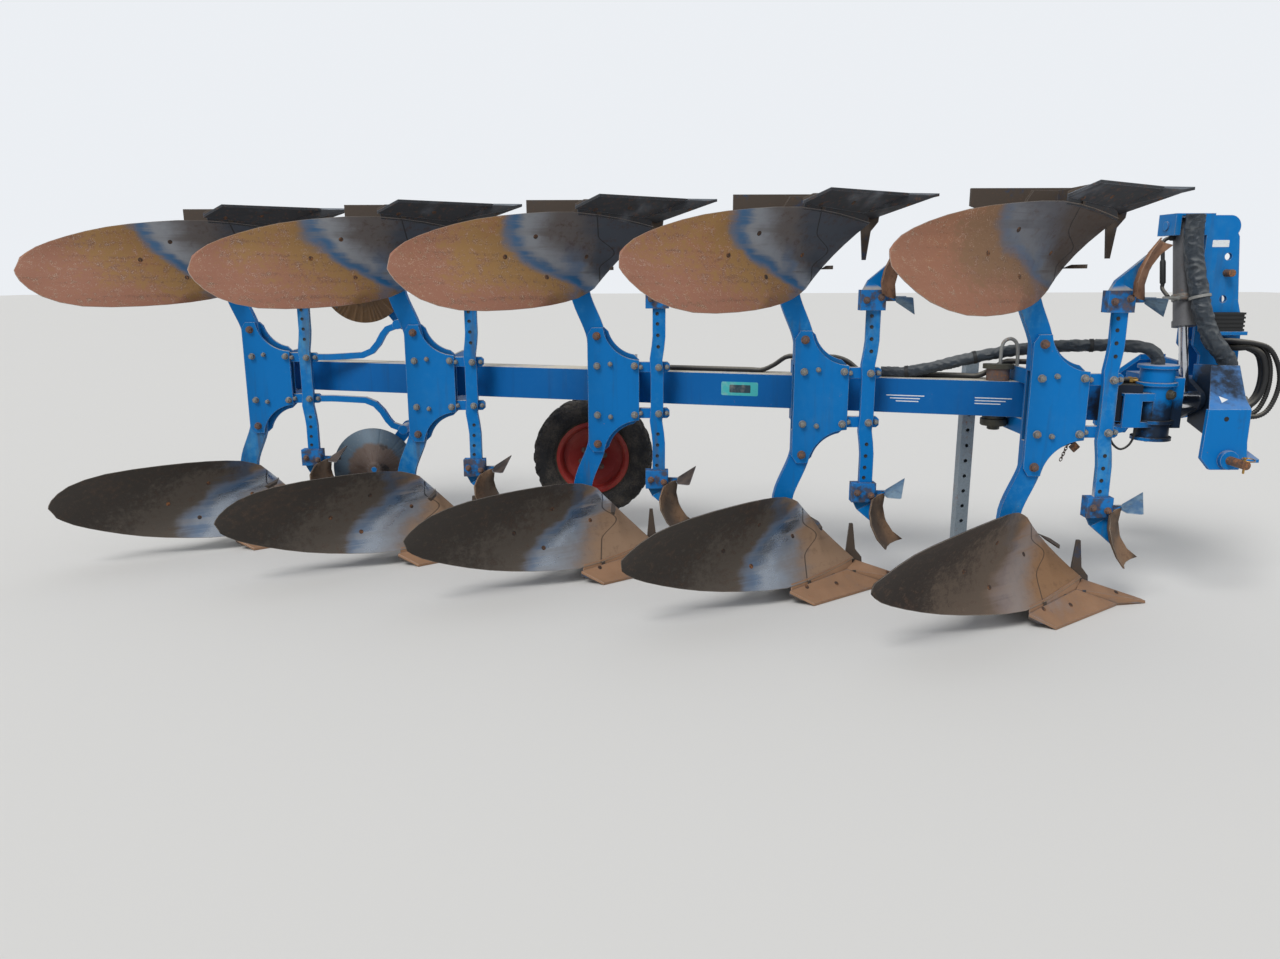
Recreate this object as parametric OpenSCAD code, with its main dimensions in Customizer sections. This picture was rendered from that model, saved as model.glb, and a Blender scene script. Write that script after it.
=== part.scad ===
// Five-furrow reversible moldboard plough, mounted type, parked on its shares.
// X runs forward along the line of travel, Y to the left, Z up; millimetres.
// Every unit is drawn about its own leg: x = 0 at the rear bolt row, y = 0 in
// the middle of the leg bar, z = 0 at the beam's mid height.

/* [Frame] */
// Side of the square beam section
beam_side = 160; // [120:5:180]
// Wall of the beam section
beam_wall = 10; // [6:1:16]
// Distance between bodies, measured along the beam
body_spacing = 1000; // [850:10:1150]
// Angle between the beam and the line of travel
beam_angle = 17; // [14:0.5:24]
// Sideways offset from the leg bars to the beam's centre line
beam_offset = 250; // [230:5:300]
// Height of the beam's middle above the ground
beam_height = 900; // [860:10:980]

/* [Legs] */
// Thickness of the leg bar
leg_t = 35; // [25:1:45]
// Width of the leg bar
leg_w = 92; // [70:2:110]
// Thickness of one cheek plate
cheek_t = 15; // [10:1:20]
// Height of the bracket arms above and below the beam
arm_h = 66; // [50:2:80]
// Distance from the leg to the middle of the skimmer stalk
stalk_reach = 292; // [275:1:310]
// Width of the skimmer stalk
stalk_w = 62; // [50:2:74]

/* [Bodies] */
// Thickness of the moldboard
board_t = 9; // [6:1:12]
// Thickness of the share
share_t = 12; // [8:1:16]
// Thickness of the landside
landside_t = 16; // [10:1:22]

/* [Headstock] */
// Sideways place of the turnover axis
turn_y = 350; // [320:5:380]
// Radius of the turnover crank
crank_r = 160; // [140:5:180]
// Radius of the turnover shaft
shaft_r = 60; // [45:1:70]
// Radius of the swivel drum
swivel_r = 70; // [60:1:80]
// Height of the cylinder's upper pin above the turnover axis
cyl_pin_h = 760; // [700:10:800]
// Radius of the cylinder barrel
barrel_r = 44; // [35:1:50]
// Distance over the two cheeks that carry the lower link pins
link_span = 965; // [825:5:1010]
// Radius of a lower link pin
link_pin_r = 18.3; // [14:0.1:18.5]
// Radius of the top link holes
top_hole_r = 16.2; // [12:0.1:16.5]

/* [Wheel] */
// Outer diameter of the depth wheel's tyre
tyre_d = 660; // [600:10:680]
// Width of the tyre
tyre_w = 195; // [150:5:200]
// Diameter of the rim
rim_d = 410; // [340:10:430]

/* [Coulter] */
// Diameter of a disc coulter
disc_d = 470; // [420:10:500]

/* [Hoses] */
// Outer radius of the fabric sleeve that gathers the hoses
sleeve_r = 42; // [36:1:48]
// Outer radius of one hose
hose_r = 11; // [8:1:12]

/* [Hidden] */
$fn = 48;
BODIES = 5;
UNITS = [1:BODIES];
step_x = body_spacing * cos(beam_angle);
step_y = body_spacing * sin(beam_angle);
beam_half = beam_side / 2;
run = 0.05;
touch = 0.3;
blue = [0.02, 0.36, 0.66];
steel = [0.45, 0.40, 0.36];
dark = [0.10, 0.10, 0.11];

// Place of the whole part: the middle of its box in x and y, the ground in z
middle_x = -1762.406;
middle_y = 417.726;

leg_names = [for (k = UNITS) str("leg_bracket_", k)];
stilt_names = [for (k = UNITS) str("leg_bars_", k)];
frog_names = [for (k = UNITS) str("frogs_", k)];
board_names = [for (k = UNITS) str("moldboards_", k)];
share_names = [for (k = UNITS) str("shares_", k)];
skim_names = [for (k = UNITS) str("skimmers_", k)];
blade_names = [for (k = UNITS) str("skimmer_boards_", k)];

function mix(a, b, t) = a + (b - a) * t;
// Smooth value between rows b and c of a table, with their neighbours a and d
function smooth(a, b, c, d, t) =
    0.5 * (2 * b + (c - a) * t + (2 * a - 5 * b + 4 * c - d) * t * t + (3 * b - a - 3 * c + d) * t * t * t);
function row(table, i) = table[max(0, min(len(table) - 1, i))];
// A table with n rows for each of its steps
function finer(table, n) = concat(
    [for (i = [0:len(table) - 2]) for (j = [0:n - 1])
        smooth(row(table, i - 1), row(table, i), row(table, i + 1), row(table, i + 2), j / n)],
    [table[len(table) - 1]]);

// A thin sheet over a grid of points, made thick along the vector back
module sheet(grid, back) {
    rows = len(grid);
    cols = len(grid[0]);
    n = rows * cols;
    front = [for (r = grid) for (p = r) p];
    rear = [for (r = grid) for (p = r) p + back];
    skin = [for (i = [0:rows - 2]) for (j = [0:cols - 2]) let (a = i * cols + j)
        each [[a, a + cols + 1, a + 1], [a, a + cols, a + cols + 1]]];
    inner = [for (t = skin) [t[0] + n, t[2] + n, t[1] + n]];
    rim = concat([for (j = [0:cols - 1]) j],
        [for (i = [1:rows - 1]) i * cols + cols - 1],
        [for (j = [cols - 2:-1:0]) (rows - 1) * cols + j],
        [for (i = [rows - 2:-1:1]) i * cols]);
    edge = [for (i = [0:len(rim) - 1]) let (a = rim[i], b = rim[(i + 1) % len(rim)])
        each [[a, b + n, a + n], [a, b, b + n]]];
    polyhedron(concat(front, rear), concat(skin, inner, edge));
}

// All that lies before the rear side of a sheet, over its rows a to b and as deep as reach times its back
module before(grid, back, reach, a, b)
    sheet([for (i = [a:b]) [for (p = grid[i]) p + (1 - reach) * back]], reach * back);

// A flat or slightly bent plate from its convex outline, made thick along the vector down
module slab(outline, down) {
    n = len(outline);
    top = [for (i = [1:n - 2]) [0, i, i + 1]];
    low = [for (t = top) [t[0] + n, t[2] + n, t[1] + n]];
    side = [for (i = [0:n - 1]) let (j = (i + 1) % n) each [[i, i + n, j + n], [i, j + n, j]]];
    polyhedron(concat(outline, [for (p = outline) p + down]), concat(top, low, side));
}

// A round tube along a path, as one skin of rings; ref is any vector not along the path
module tube(path, r, ref = [0, 1, 0], sides = 8) {
    n = len(path);
    ring = [for (i = [0:n - 1]) let (t = row(path, i + 1) - row(path, i - 1),
        u = cross(t, ref) / norm(cross(t, ref)), v = cross(u, t) / norm(cross(u, t)))
        for (j = [0:sides - 1]) path[i] + r * (cos(360 * j / sides) * u + sin(360 * j / sides) * v)];
    wall = [for (i = [0:n - 2]) for (j = [0:sides - 1])
        let (a = i * sides + j, b = i * sides + (j + 1) % sides)
        each [[a, b, b + sides], [a, b + sides, a + sides]]];
    polyhedron(ring, concat(wall, [[for (j = [sides - 1:-1:0]) j]],
        [[for (j = [0:sides - 1]) (n - 1) * sides + j]]));
}

// A flat band of the width w along a path in its plane
function across(path, i) = let (t = row(path, i + 1) - row(path, i - 1)) [-t[1], t[0]] / norm(t);
module ribbon(path, w) polygon(concat(
    [for (i = [0:len(path) - 1]) path[i] + across(path, i) * w / 2],
    [for (i = [len(path) - 1:-1:0]) path[i] - across(path, i) * w / 2]));

module unit(k) translate([-(k - 1) * step_x, (k - 1) * step_y, 0]) children();
module both() {
    children();
    mirror([0, 0, 1]) children();
}
module sides() {
    children();
    mirror([0, 1, 0]) children();
}
module plate_xz(t, y) translate([0, y + t / 2, 0]) rotate([90, 0, 0]) linear_extrude(t) children();
module plate_yz(t, x) translate([x, 0, 0]) rotate([90, 0, 90]) linear_extrude(t) children();
module rod_y(r, y0, y1) translate([0, y0, 0]) rotate([-90, 0, 0]) cylinder(r = r, h = y1 - y0);
module rod_x(r, x0, x1) translate([x0, 0, 0]) rotate([0, 90, 0]) cylinder(r = r, h = x1 - x0);

// Leg units
shear_z = 264;
arm_z = beam_half;
cheek_back = leg_t / 2 + cheek_t;
bar_shift = 80;
bar_top = 230;
bar_bend = 500;
bar_foot = beam_height - 250;
horn_z = shear_z + 40;
cheek_front = 205;
cheek_rear = -45;
flange_end = stalk_reach + stalk_w;
flange_t = 25;

// Outline of a cheek: straight rear edge, horns above and below, hollow front corners
module cheek_outline(hollow) difference() {
    polygon([[cheek_rear, -horn_z + 34], [cheek_rear + 22, -horn_z], [34, -horn_z],
        [cheek_front, -arm_z - arm_h], [cheek_front, arm_z + arm_h], [34, horn_z],
        [cheek_rear + 22, horn_z], [cheek_rear, horn_z - 34]]);
    for (s = [-1, 1]) translate([cheek_front + 4, s * (horn_z + 24)]) circle(r = hollow);
}
module leg_bracket(k) color(blue) unit(k) {
    plate_xz(cheek_t, -(leg_t + cheek_t) / 2) cheek_outline(180);
    plate_xz(cheek_t, (leg_t + cheek_t) / 2) cheek_outline(160);
    both() {
        translate([-5, cheek_back, arm_z]) difference() {
            cube([cheek_front - 5, beam_offset + beam_half - cheek_back, arm_h]);
            translate([14, 14, 14]) cube([cheek_front - 33, beam_offset + beam_half, arm_h]);
        }
        plate_xz(flange_t, (flange_t - leg_t) / 2) polygon([[cheek_front - 60, arm_z + 8],
            [flange_end - 12, arm_z + 8], [flange_end, arm_z + 20], [flange_end, arm_z + 48],
            [flange_end - 12, arm_z + 58], [cheek_front - 60, arm_z + 58]]);
    }
}

// The leg bar is straight between the cheeks, and then bends back to its foot
function bend(z) = max(0, min(1, (z - bar_top) / (bar_bend - bar_top)));
bar_path = [for (z = concat([150], [for (i = [0:9]) bar_top + i * (bar_bend - bar_top) / 9], [bar_foot]))
    [-bar_shift * pow(bend(z), 2) * (3 - 2 * bend(z)), -z]];
module leg_bars(k) color(blue) unit(k) both() plate_xz(leg_t, 0) ribbon(bar_path, leg_w);

// Columns: far edge x y z, beam-side edge x y z, hollow; the rows run from the shin to the tail
board_table = [
    [275, 4, -776, -8, -34, -488, 42],
    [110, -130, -808, -80, -120, -446, 62],
    [-85, -285, -826, -195, -270, -418, 76],
    [-290, -365, -815, -350, -450, -404, 84],
    [-490, -430, -788, -540, -630, -410, 78],
    [-655, -495, -742, -690, -690, -458, 52],
    [-770, -560, -690, -785, -690, -530, 22],
    [-822, -610, -640, -825, -660, -580, 5]];
hollow_dir = [-0.35, 0.94, 0];
board_cols = 6;
function board_row(r) = [for (i = [0:board_cols]) let (t = i / board_cols)
    mix([r[0], r[1], r[2]], [r[3], r[4], r[5]], t) + r[6] * 4 * t * (1 - t) * hollow_dir];
board_grid = [for (r = finer(board_table, 2)) board_row(r)];
board_back = [0, board_t, 0];
module moldboards(k) color(steel) unit(k) both() sheet(board_grid, board_back);

ground = -beam_height;
share_line = [[-75, -288, ground + 62], [228, -54, ground + 88], [430, -24, ground + share_t],
    [34, -315, ground + share_t]];
point_line = [[230, -50, ground + 88], [290, 34, ground + 108], [568, 40, ground + share_t],
    [575, 8, ground + share_t], [434, -20, ground + share_t]];
module shares(k) color(steel) unit(k) both() {
    slab(share_line, [0, 0, -share_t]);
    slab(point_line, [0, 0, -share_t]);
}

frog_t = 24;
frog_y = leg_t / 2 + frog_t;
seat_t = 10;
rib_t = 16;
stay_r = 16;
stay_turn = 142;
board_reach = 60;
fin_h = 165;
landside_h = 120;
// Ribs under the share: place and reach towards the share's edge
share_ribs = [[20, 280], [150, 180], [260, 60]];
module frogs(k) color(dark) unit(k) both() {
    difference() {
        union() {
            plate_xz(frog_t, leg_t / 2 + frog_t / 2) polygon([[-135, -560], [-50, -560], [120, -690],
                [230, -790], [262, -830], [150, -884], [-80, -890], [-135, -800]]);
            for (z = [-590, -690, -790]) translate([0, 0, z]) linear_extrude(rib_t)
                polygon([[-135, frog_y], [-170, -150], [-150, -240], [84, -240], [86, -60], [60, frog_y]]);
            translate([-135, -120, -800]) cube([rib_t, 120 + frog_y, 240]);
            for (b = share_ribs) translate([b[0], -b[1], ground + 12]) cube([rib_t, b[1] + frog_y, 70]);
        }
        before(board_grid, board_back, board_reach, 0, 8);
        for (line = [share_line, point_line]) translate([0, 0, 300])
            slab(line, [0, 0, -300 - share_t]);
        translate([-bar_shift - leg_w / 2, -leg_t / 2, -bar_foot]) cube([leg_w, leg_t, 200]);
    }
    difference() {
        for (line = [share_line, point_line]) translate([0, 0, -share_t]) slab(line, [0, 0, -seat_t]);
        translate([-200, -500, ground - 100]) cube([1000, 700, 122]);
    }
    plate_xz(landside_t, frog_y + landside_t / 2) polygon([[-330, ground], [270, ground],
        [330, ground + 40], [320, ground + landside_h], [288, ground + landside_h + 40],
        [272, ground + landside_h + fin_h], [256, ground + landside_h + fin_h],
        [242, ground + landside_h], [-200, ground + landside_h], [-330, ground + 70]]);
    // Stay from the frog to the board's wing
    difference() {
        translate([-120, leg_t / 2, -700]) rotate([0, 0, stay_turn]) rotate([-90, 0, 0])
            cylinder(r = stay_r, h = 620);
        before(board_grid, board_back, board_reach, 6, 14);
        translate([-135, leg_t / 2, -900]) cube([500, 2 * frog_t, 400]);
    }
}

// Skimmer: columns are the shin edge x z and the wing edge x y z, rows from the tip upward
stalk_t = 25;
stalk_side = -(leg_t + stalk_t) / 2;
// Height below the beam's middle and shift of the stalk's middle line
stalk_line = [[0, 0], [90, 0], [150, -5], [210, 4], [260, 9], [485, 9]];
stalk_path = [for (p = stalk_line) [stalk_reach + p[1], -p[0]]];
clamp_z = 395;
clamp_h = 90;
clamp_w = 112;
clamp_deep = 58;
skim_table = [
    [490, -668, 392, -128, -694],
    [442, -630, 345, -150, -640],
    [405, -575, 312, -158, -572],
    [390, -508, 306, -142, -520],
    [398, -442, 322, -108, -478]];
skim_y = -36;
skim_cols = 4;
skim_back = [-6, 5, 0];
skim_hollow = [-16, 12, 0];
skim_grid = [for (r = skim_table) [for (i = [0:skim_cols]) let (t = i / skim_cols)
    mix([r[2], r[3], r[4]], [r[0], skim_y, r[1]], t) + 4 * t * (1 - t) * skim_hollow]];
module skimmer_boards(k) color(steel) unit(k) both() sheet(skim_grid, skim_back);

// Outline of the guard plate over the skimmer's board, clockwise from above
guard = [[345, -120, -500], [400, -30, -430], [486, -30, -375], [450, -120, -450]];
// Outline of the holder behind the board
holder = [[245, -480], [340, -480], [372, -515], [398, -555], [430, -625], [415, -650], [345, -590],
    [268, -525]];
guard_t = 6;
skim_reach = 40;
module skimmers(k) color(blue) unit(k) both() {
    plate_xz(stalk_t, stalk_side) ribbon(stalk_path, stalk_w);
    difference() {
        union() {
            difference() {
                union() {
                    translate([stalk_reach - clamp_w / 2, stalk_side - clamp_deep / 2, -clamp_z - clamp_h])
                        cube([clamp_w, clamp_deep, clamp_h]);
                    plate_xz(20, stalk_side) polygon(holder);
                    translate([stalk_reach + 40, stalk_side - 10, -clamp_z - 62]) cube([110, 20, 22]);
                }
                slab([for (p = guard) p + [0, 0, 300]], [0, 0, -300]);
            }
            slab(guard, [0, 0, -guard_t]);
        }
        before(skim_grid, skim_back, skim_reach, 0, len(skim_grid) - 1);
    }
}

// Beam and front frame
module along_beam() translate([90, beam_offset, 0]) rotate([0, 0, -beam_angle]) children();
beam_rear = -(BODIES - 1) * body_spacing - 120;
beam_front = 430;
module main_beam() color(blue) along_beam() difference() {
    translate([beam_rear, -beam_half, -beam_half]) cube([beam_front - beam_rear, beam_side, beam_side]);
    translate([beam_rear + beam_wall, beam_wall - beam_half, beam_wall - beam_half])
        cube([beam_front - beam_rear, beam_side - 2 * beam_wall, beam_side - 2 * beam_wall]);
}
// What is left of the children outside the beam
module off_beam() difference() {
    children();
    along_beam() translate([beam_rear - 500, -beam_half, -beam_half])
        cube([beam_front - beam_rear + 500, beam_side, beam_side]);
}
swivel_at = beam_front + swivel_r - 5;
swivel_x = 90 + swivel_at * cos(beam_angle);
swivel_y = beam_offset - swivel_at * sin(beam_angle);
drum_half = 150;
lip_t = 15;
lip_w = 12;
drum_webs = 110;
bracket_l = 165;
bracket_w = 100;
bracket_h = 150;
bracket_z = -105;
bracket_t = 12;
window_w = 46;
module swivel_head() color(blue) {
    off_beam() {
        translate([swivel_x, swivel_y, -drum_half]) cylinder(r = swivel_r, h = 2 * drum_half);
        for (z = [-drum_half - lip_t, -90, 75, drum_half]) translate([swivel_x, swivel_y, z])
            cylinder(r = swivel_r + lip_w, h = lip_t);
        translate([swivel_x, swivel_y - 40, -drum_webs])
            cube([yoke_rear - swivel_x, turn_y + 60 - swivel_y, 2 * drum_webs]);
        // Box bracket on the near side, open at its rear, with a window
        difference() {
            translate([swivel_x - bracket_l, swivel_y - 62, bracket_z])
                cube([bracket_l, bracket_w, bracket_h]);
            translate([swivel_x - 84, swivel_y - 80, bracket_z + 25]) cube([window_w, 120, 90]);
            translate([swivel_x - bracket_l - 1, swivel_y - 62 + bracket_t, bracket_z + bracket_t])
                cube([bracket_l - 19, bracket_w, bracket_h - 2 * bracket_t]);
        }
    }
}

// Turnover yoke: two lobed webs about the cylinder's eye, joined behind the axis so that the rod passes it
cyl_x = 740;
web_gap = 104;
web_t = 22;
eye_r = 38;
hub_r = crank_r - eye_r - 12;
hub_open = eye_r + 20;
yoke_rear = cyl_x - web_gap / 2 - web_t;
yoke_front = cyl_x + web_gap / 2 + web_t;
bearing_front = yoke_front + 160;
bearing_r = shaft_r + 32;
module turnover_yoke() color(blue) translate([0, turn_y, 0]) {
    for (x = [yoke_rear, yoke_front - web_t]) plate_yz(web_t, x) hull() {
        circle(r = hub_r);
        translate([-crank_r, 0]) circle(r = eye_r + 6);
    }
    intersection() {
        rod_x(hub_r - 6, yoke_rear + web_t, yoke_front - web_t);
        translate([yoke_rear, hub_open, -hub_r]) cube([yoke_front - yoke_rear, hub_r, 2 * hub_r]);
    }
    rod_x(shaft_r, yoke_front - 1, bearing_front + 20);
}

// Headstock, about the turnover axis: y and z of its rear and front webs on one side
half_span = link_span / 2;
cheek_low = -256;
cheek_in = 190;
cheek_top = 165;
head_t = 20;
web_x = yoke_front + 8;
web_front = web_x + head_t;
flange_w = 80;
web_in = bearing_r - 25;
rear_web = [[-half_span, cheek_low + 30], [-half_span, 0], [-half_span + cheek_in, cheek_top],
    [-web_in, cheek_top - 15], [-web_in, -115]];
front_web = [[-240, -105], [-240, -20], [-web_in, 40], [-web_in, -105]];
web_lip = [[-half_span, cheek_low + 30], [-half_span, cheek_low + 44], [-web_in, -101], [-web_in, -115]];
cheek_x0 = yoke_front - 158;
cheek_x1 = yoke_front + 36;
// Outline of a cheek's upright part: x and z
cheek = [[cheek_x0 + 8, 0], [cheek_x0, cheek_low + 48], [cheek_x0 + 42, cheek_low],
    [cheek_x1 - 30, cheek_low], [cheek_x1, cheek_low + 48], [cheek_x1 - 24, 0]];
// The plate that leans inward and forward from the cheek, clockwise from above
shoulder = [[cheek_x0 + 8, -half_span, 0], [cheek_x0 + 108, -half_span + cheek_in, cheek_top],
    [cheek_x1 + 39, -half_span + cheek_in, cheek_top], [cheek_x1 - 24, -half_span, 0]];
module headstock() color(blue) translate([0, turn_y, 0]) difference() {
    union() {
        rod_x(bearing_r, yoke_front + 6, bearing_front);
        sides() {
            plate_yz(head_t, web_x) polygon(rear_web);
            plate_yz(head_t, bearing_front - head_t - 6) polygon(front_web);
            plate_yz(flange_w, web_x) polygon(web_lip);
            plate_xz(head_t, head_t / 2 - half_span) polygon(cheek);
            slab(shoulder, [0, 0, -1.4 * head_t]);
            translate([link_pin_x, 0, pin_z]) rod_y(pin_boss_r, -half_span - pin_boss, -half_span + boss_in);
        }
    }
    rod_x(shaft_r + run, yoke_front - 100, bearing_front + 1);
}

tower_gap = 66;
tower_x = cyl_x + tower_gap;
tower_top = 804;
tower_half = 70;
tower_t = 18;
tower_low = 235;
pin_hole_z = 554;
top_hole_z = 626;
hole_rows = [440, pin_hole_z, top_hole_z];
hole_in = 108;
tower_mid = tower_x + hole_in;
tower_w = 147;
round_r = 50;
ear_t = 26;
ear_low = 42;
ear_high = 52;
ear_r = 43;
module tower_outline() difference() {
    union() {
        polygon([[web_front, 45], [tower_x + 214, 45], [tower_x + 206, 340], [tower_x + 178, 430],
            [tower_x + tower_w, 712], [tower_x + tower_w - round_r, tower_top], [tower_x, tower_top],
            [tower_x, tower_low], [web_front, tower_low - 45]]);
        translate([tower_x + tower_w - round_r, tower_top - round_r]) circle(r = round_r);
    }
    for (z = hole_rows) translate([tower_mid, z]) circle(r = top_hole_r);
}
module tower() color(blue) translate([0, turn_y, 0]) difference() {
    union() {
        for (s = [-1, 1]) plate_xz(tower_t, s * (tower_half - tower_t / 2)) tower_outline();
        // Cylinder bracket: a box behind the plates with a fork for the cylinder's eye
        translate([cyl_x - web_gap / 2 - ear_t, -tower_half, cyl_pin_h - ear_low]) difference() {
            cube([tower_x + 30 - cyl_x + web_gap / 2 + ear_t, 2 * tower_half, ear_low + ear_high]);
            translate([ear_t, -1, -1]) cube([web_gap, 2 * tower_half + 2, ear_low + ear_r]);
        }
        translate([0, 0, cyl_pin_h]) rod_x(20, cyl_x - web_gap / 2 - 32, cyl_x + web_gap / 2 + 10);
        translate([web_front + 10, -tower_half, tower_low]) cube([160, 2 * tower_half, 16]);
        // Ledge under the hose block, on the near side
        translate([block_x - 4, -tower_half - block_deep - 8, block_z - 18])
            cube([block_w + 16, block_deep + 10, 16]);
    }
    rod_x(bearing_r + touch, yoke_front, bearing_front + 1);
    rod_x(shaft_r + 12, bearing_front, bearing_front + 100);
}

// Lower link pins on the ends of their bosses, and the top link's pin
pin_ahead = -49;
pin_z = -212;
pin_boss = 22;
pin_boss_r = 40;
boss_in = 60;
link_pin_len = 110;
link_pin_x = yoke_front + pin_ahead;
top_pin_len = 230;
module link_pins() color("silver") translate([0, turn_y, 0]) {
    translate([link_pin_x, 0, pin_z]) sides()
        rod_y(link_pin_r, half_span + pin_boss, half_span + pin_boss + link_pin_len);
    translate([tower_mid, 0, pin_hole_z]) rod_y(top_hole_r - run, -top_pin_len / 2, top_pin_len / 2);
}

lean = atan(crank_r / cyl_pin_h);
rest_len = sqrt(crank_r * crank_r + cyl_pin_h * cyl_pin_h);
module on_cylinder() translate([cyl_x, turn_y, cyl_pin_h]) rotate([-lean, 0, 0]) children();
barrel_len = 450;
module cylinder_barrel() color("gray") on_cylinder() difference() {
    union() {
        rotate([0, 90, 0]) cylinder(r = eye_r, h = 60, center = true);
        translate([0, 0, -barrel_len]) cylinder(r = barrel_r, h = barrel_len - 20);
        translate([0, 0, -barrel_len]) cylinder(r = barrel_r + 5, h = 26);
    }
    rotate([0, 90, 0]) cylinder(r = 20 + run, h = 200, center = true);
    translate([0, 0, -barrel_len - 1]) cylinder(r = 20 + run, h = 391);
}
module cylinder_rod() color("silver") on_cylinder() {
    translate([0, 0, -rest_len + 20]) cylinder(r = 20, h = rest_len - barrel_len + 160);
    translate([0, 0, -rest_len]) rotate([0, 90, 0])
        cylinder(r = eye_r, h = web_gap - 2 * touch, center = true);
}

// Depth wheel
pivot_ahead = 82;
wheel_shift = -60;
wheel_side = 690;
wheel_z = -462;
arm_side = 512;
arm_t = 30;
pivot_x = -2 * step_x + pivot_ahead;
wheel_x = -2 * step_x + wheel_shift;
wheel_y = 2 * step_y + wheel_side;
arm_y = 2 * step_y + arm_side;
module wheel_bracket() color(blue) off_beam() {
    translate([pivot_x, 0, 0]) {
        rod_y(45, arm_y - 250, arm_y - touch);
        rod_y(30, arm_y - 250, arm_y + arm_t + 20);
    }
    along_beam() translate([-2 * body_spacing - 120, beam_half, -beam_half]) cube([240, 14, 160]);
}
module wheel_arm() color(blue) {
    difference() {
        hull() {
            translate([pivot_x, 0, 0]) rod_y(58, arm_y, arm_y + arm_t);
            translate([wheel_x, 0, wheel_z]) rod_y(44, arm_y, arm_y + arm_t);
        }
        translate([pivot_x, 0, 0]) rod_y(30 + run, arm_y - 10, arm_y + arm_t + 10);
    }
    translate([wheel_x, 0, wheel_z]) rod_y(25, arm_y, wheel_y + 70);
}
// Rim section from the axle outward, as radius and place across; the dish leans towards the beam
rim_r = rim_d / 2;
rim_half = tyre_w / 2 - 20;
rim_t = 8;
hub_bore = 25;
rim_section = [[hub_bore + run, -40], [hub_bore + 30, -40], [hub_bore + 30, -12], [rim_r - 70, -30],
    [rim_r - 40, -30], [rim_r - 30, -rim_half + 12], [rim_r - 20, -rim_half], [rim_r, -rim_half],
    [rim_r, -rim_half + rim_t], [rim_r - 14, -rim_half + 24], [rim_r - 22, 0], [rim_r - 14, rim_half - 24],
    [rim_r, rim_half - rim_t], [rim_r, rim_half], [rim_r - 20, rim_half], [rim_r - 32, rim_half - 24],
    [rim_r - 40, -10], [rim_r - 46, -18], [rim_r - 70, -18], [hub_bore + 30, 2], [hub_bore + 30, 60],
    [hub_bore + run, 60]];
module wheel_rim() color("red") translate([wheel_x, wheel_y, wheel_z]) rotate([-90, 0, 0])
    rotate_extrude() polygon(rim_section);
// Tyre section: bead seats on the rim's wall, round shoulders, flat tread
wall = tyre_d / 2 - rim_r;
tyre_half = tyre_w / 2;
tyre_section = [[touch, -rim_half + 1], [touch, -rim_half + 12], [20, -tyre_half + 12],
    [wall * 0.45, -tyre_half],
    [wall * 0.75, -tyre_half + 6], [wall * 0.92, -tyre_half + 22], [wall, -tyre_half + 45]];
module wheel_tyre() color(dark) translate([wheel_x, wheel_y, wheel_z]) rotate([-90, 0, 0])
    rotate_extrude() translate([rim_r, 0]) polygon(concat(tyre_section,
        [for (i = [len(tyre_section) - 1:-1:0]) [tyre_section[i][0], -tyre_section[i][1]]]));

// Parking stand: a square tube with a row of pin holes, in a clasp on the beam's far side
stand_x = -130;
stand_y = 470;
stand_w = 60;
stand_wall = 6;
stand_hole_r = 9;
clasp_h = 156;
clasp_wall = 15;
module stand_holder() color(blue) off_beam() translate([stand_x, stand_y, -clasp_h / 2]) difference() {
    translate([-stand_w / 2 - clasp_wall, -90, 0]) cube([stand_w + 2 * clasp_wall, 135, clasp_h]);
    translate([-stand_w / 2 - 0.5, -stand_w / 2 - 0.5, -1]) cube([stand_w + 1, stand_w + 1, clasp_h + 2]);
    translate([0, 0, clasp_h / 2]) rod_y(stand_hole_r, stand_w / 2, stand_w);
}
module parking_stand() color("gray") translate([stand_x, stand_y, ground]) {
    difference() {
        translate([-stand_w / 2, -stand_w / 2, 0]) cube([stand_w, stand_w, beam_height + 150]);
        translate([stand_wall - stand_w / 2, stand_wall - stand_w / 2, 30])
            cube([stand_w - 2 * stand_wall, stand_w - 2 * stand_wall, beam_height + 150]);
        for (z = [120:75:beam_height + 60]) translate([0, 0, z]) rod_y(stand_hole_r, -stand_w, stand_w);
    }
    translate([-90, -70, 0]) cube([180, 140, 12]);
}

// Disc coulters at the rear body: a bent arm on the flange, a pivot, and a swing plate to the hub
disc_x = 605;
disc_z = -530;
disc_y = 66;
disc_t = 6;
arm_path = [[flange_end, -114], [420, -114], [500, -118], [600, -124], [652, -146], [690, -188], [718, -236],
    [742, -264], [800, -286]];
pivot = [800, -290];
plate_y = 112;
swing_t = 20;
axle_r = 16;
module coulter_arms() color(blue) unit(BODIES) both() {
    plate_xz(30, (flange_t - leg_t) / 2) ribbon(arm_path, 34);
    translate([pivot[0], 0, pivot[1]]) rod_y(26, -leg_t / 2 - 4, plate_y + swing_t / 2 + 8);
    plate_xz(swing_t, plate_y) hull() {
        translate(pivot) circle(r = 34);
        translate([disc_x, disc_z]) circle(r = 30);
    }
    translate([disc_x, 0, disc_z]) rod_y(axle_r, disc_y - 20, plate_y);
}
module coulter_disc() unit(BODIES) translate([disc_x, 0, disc_z]) difference() {
    union() {
        rod_y(disc_d / 2, disc_y - disc_t / 2, disc_y + disc_t / 2);
        rod_y(58, disc_y - 9, disc_y + 9);
        rod_y(45, disc_y - 18, disc_y + 24);
    }
    rod_y(axle_r + run, disc_y - 60, disc_y + 60);
}
module coulter_disc_lower() color(steel) coulter_disc();
module coulter_disc_upper() color(steel) mirror([0, 0, 1]) coulter_disc();

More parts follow.
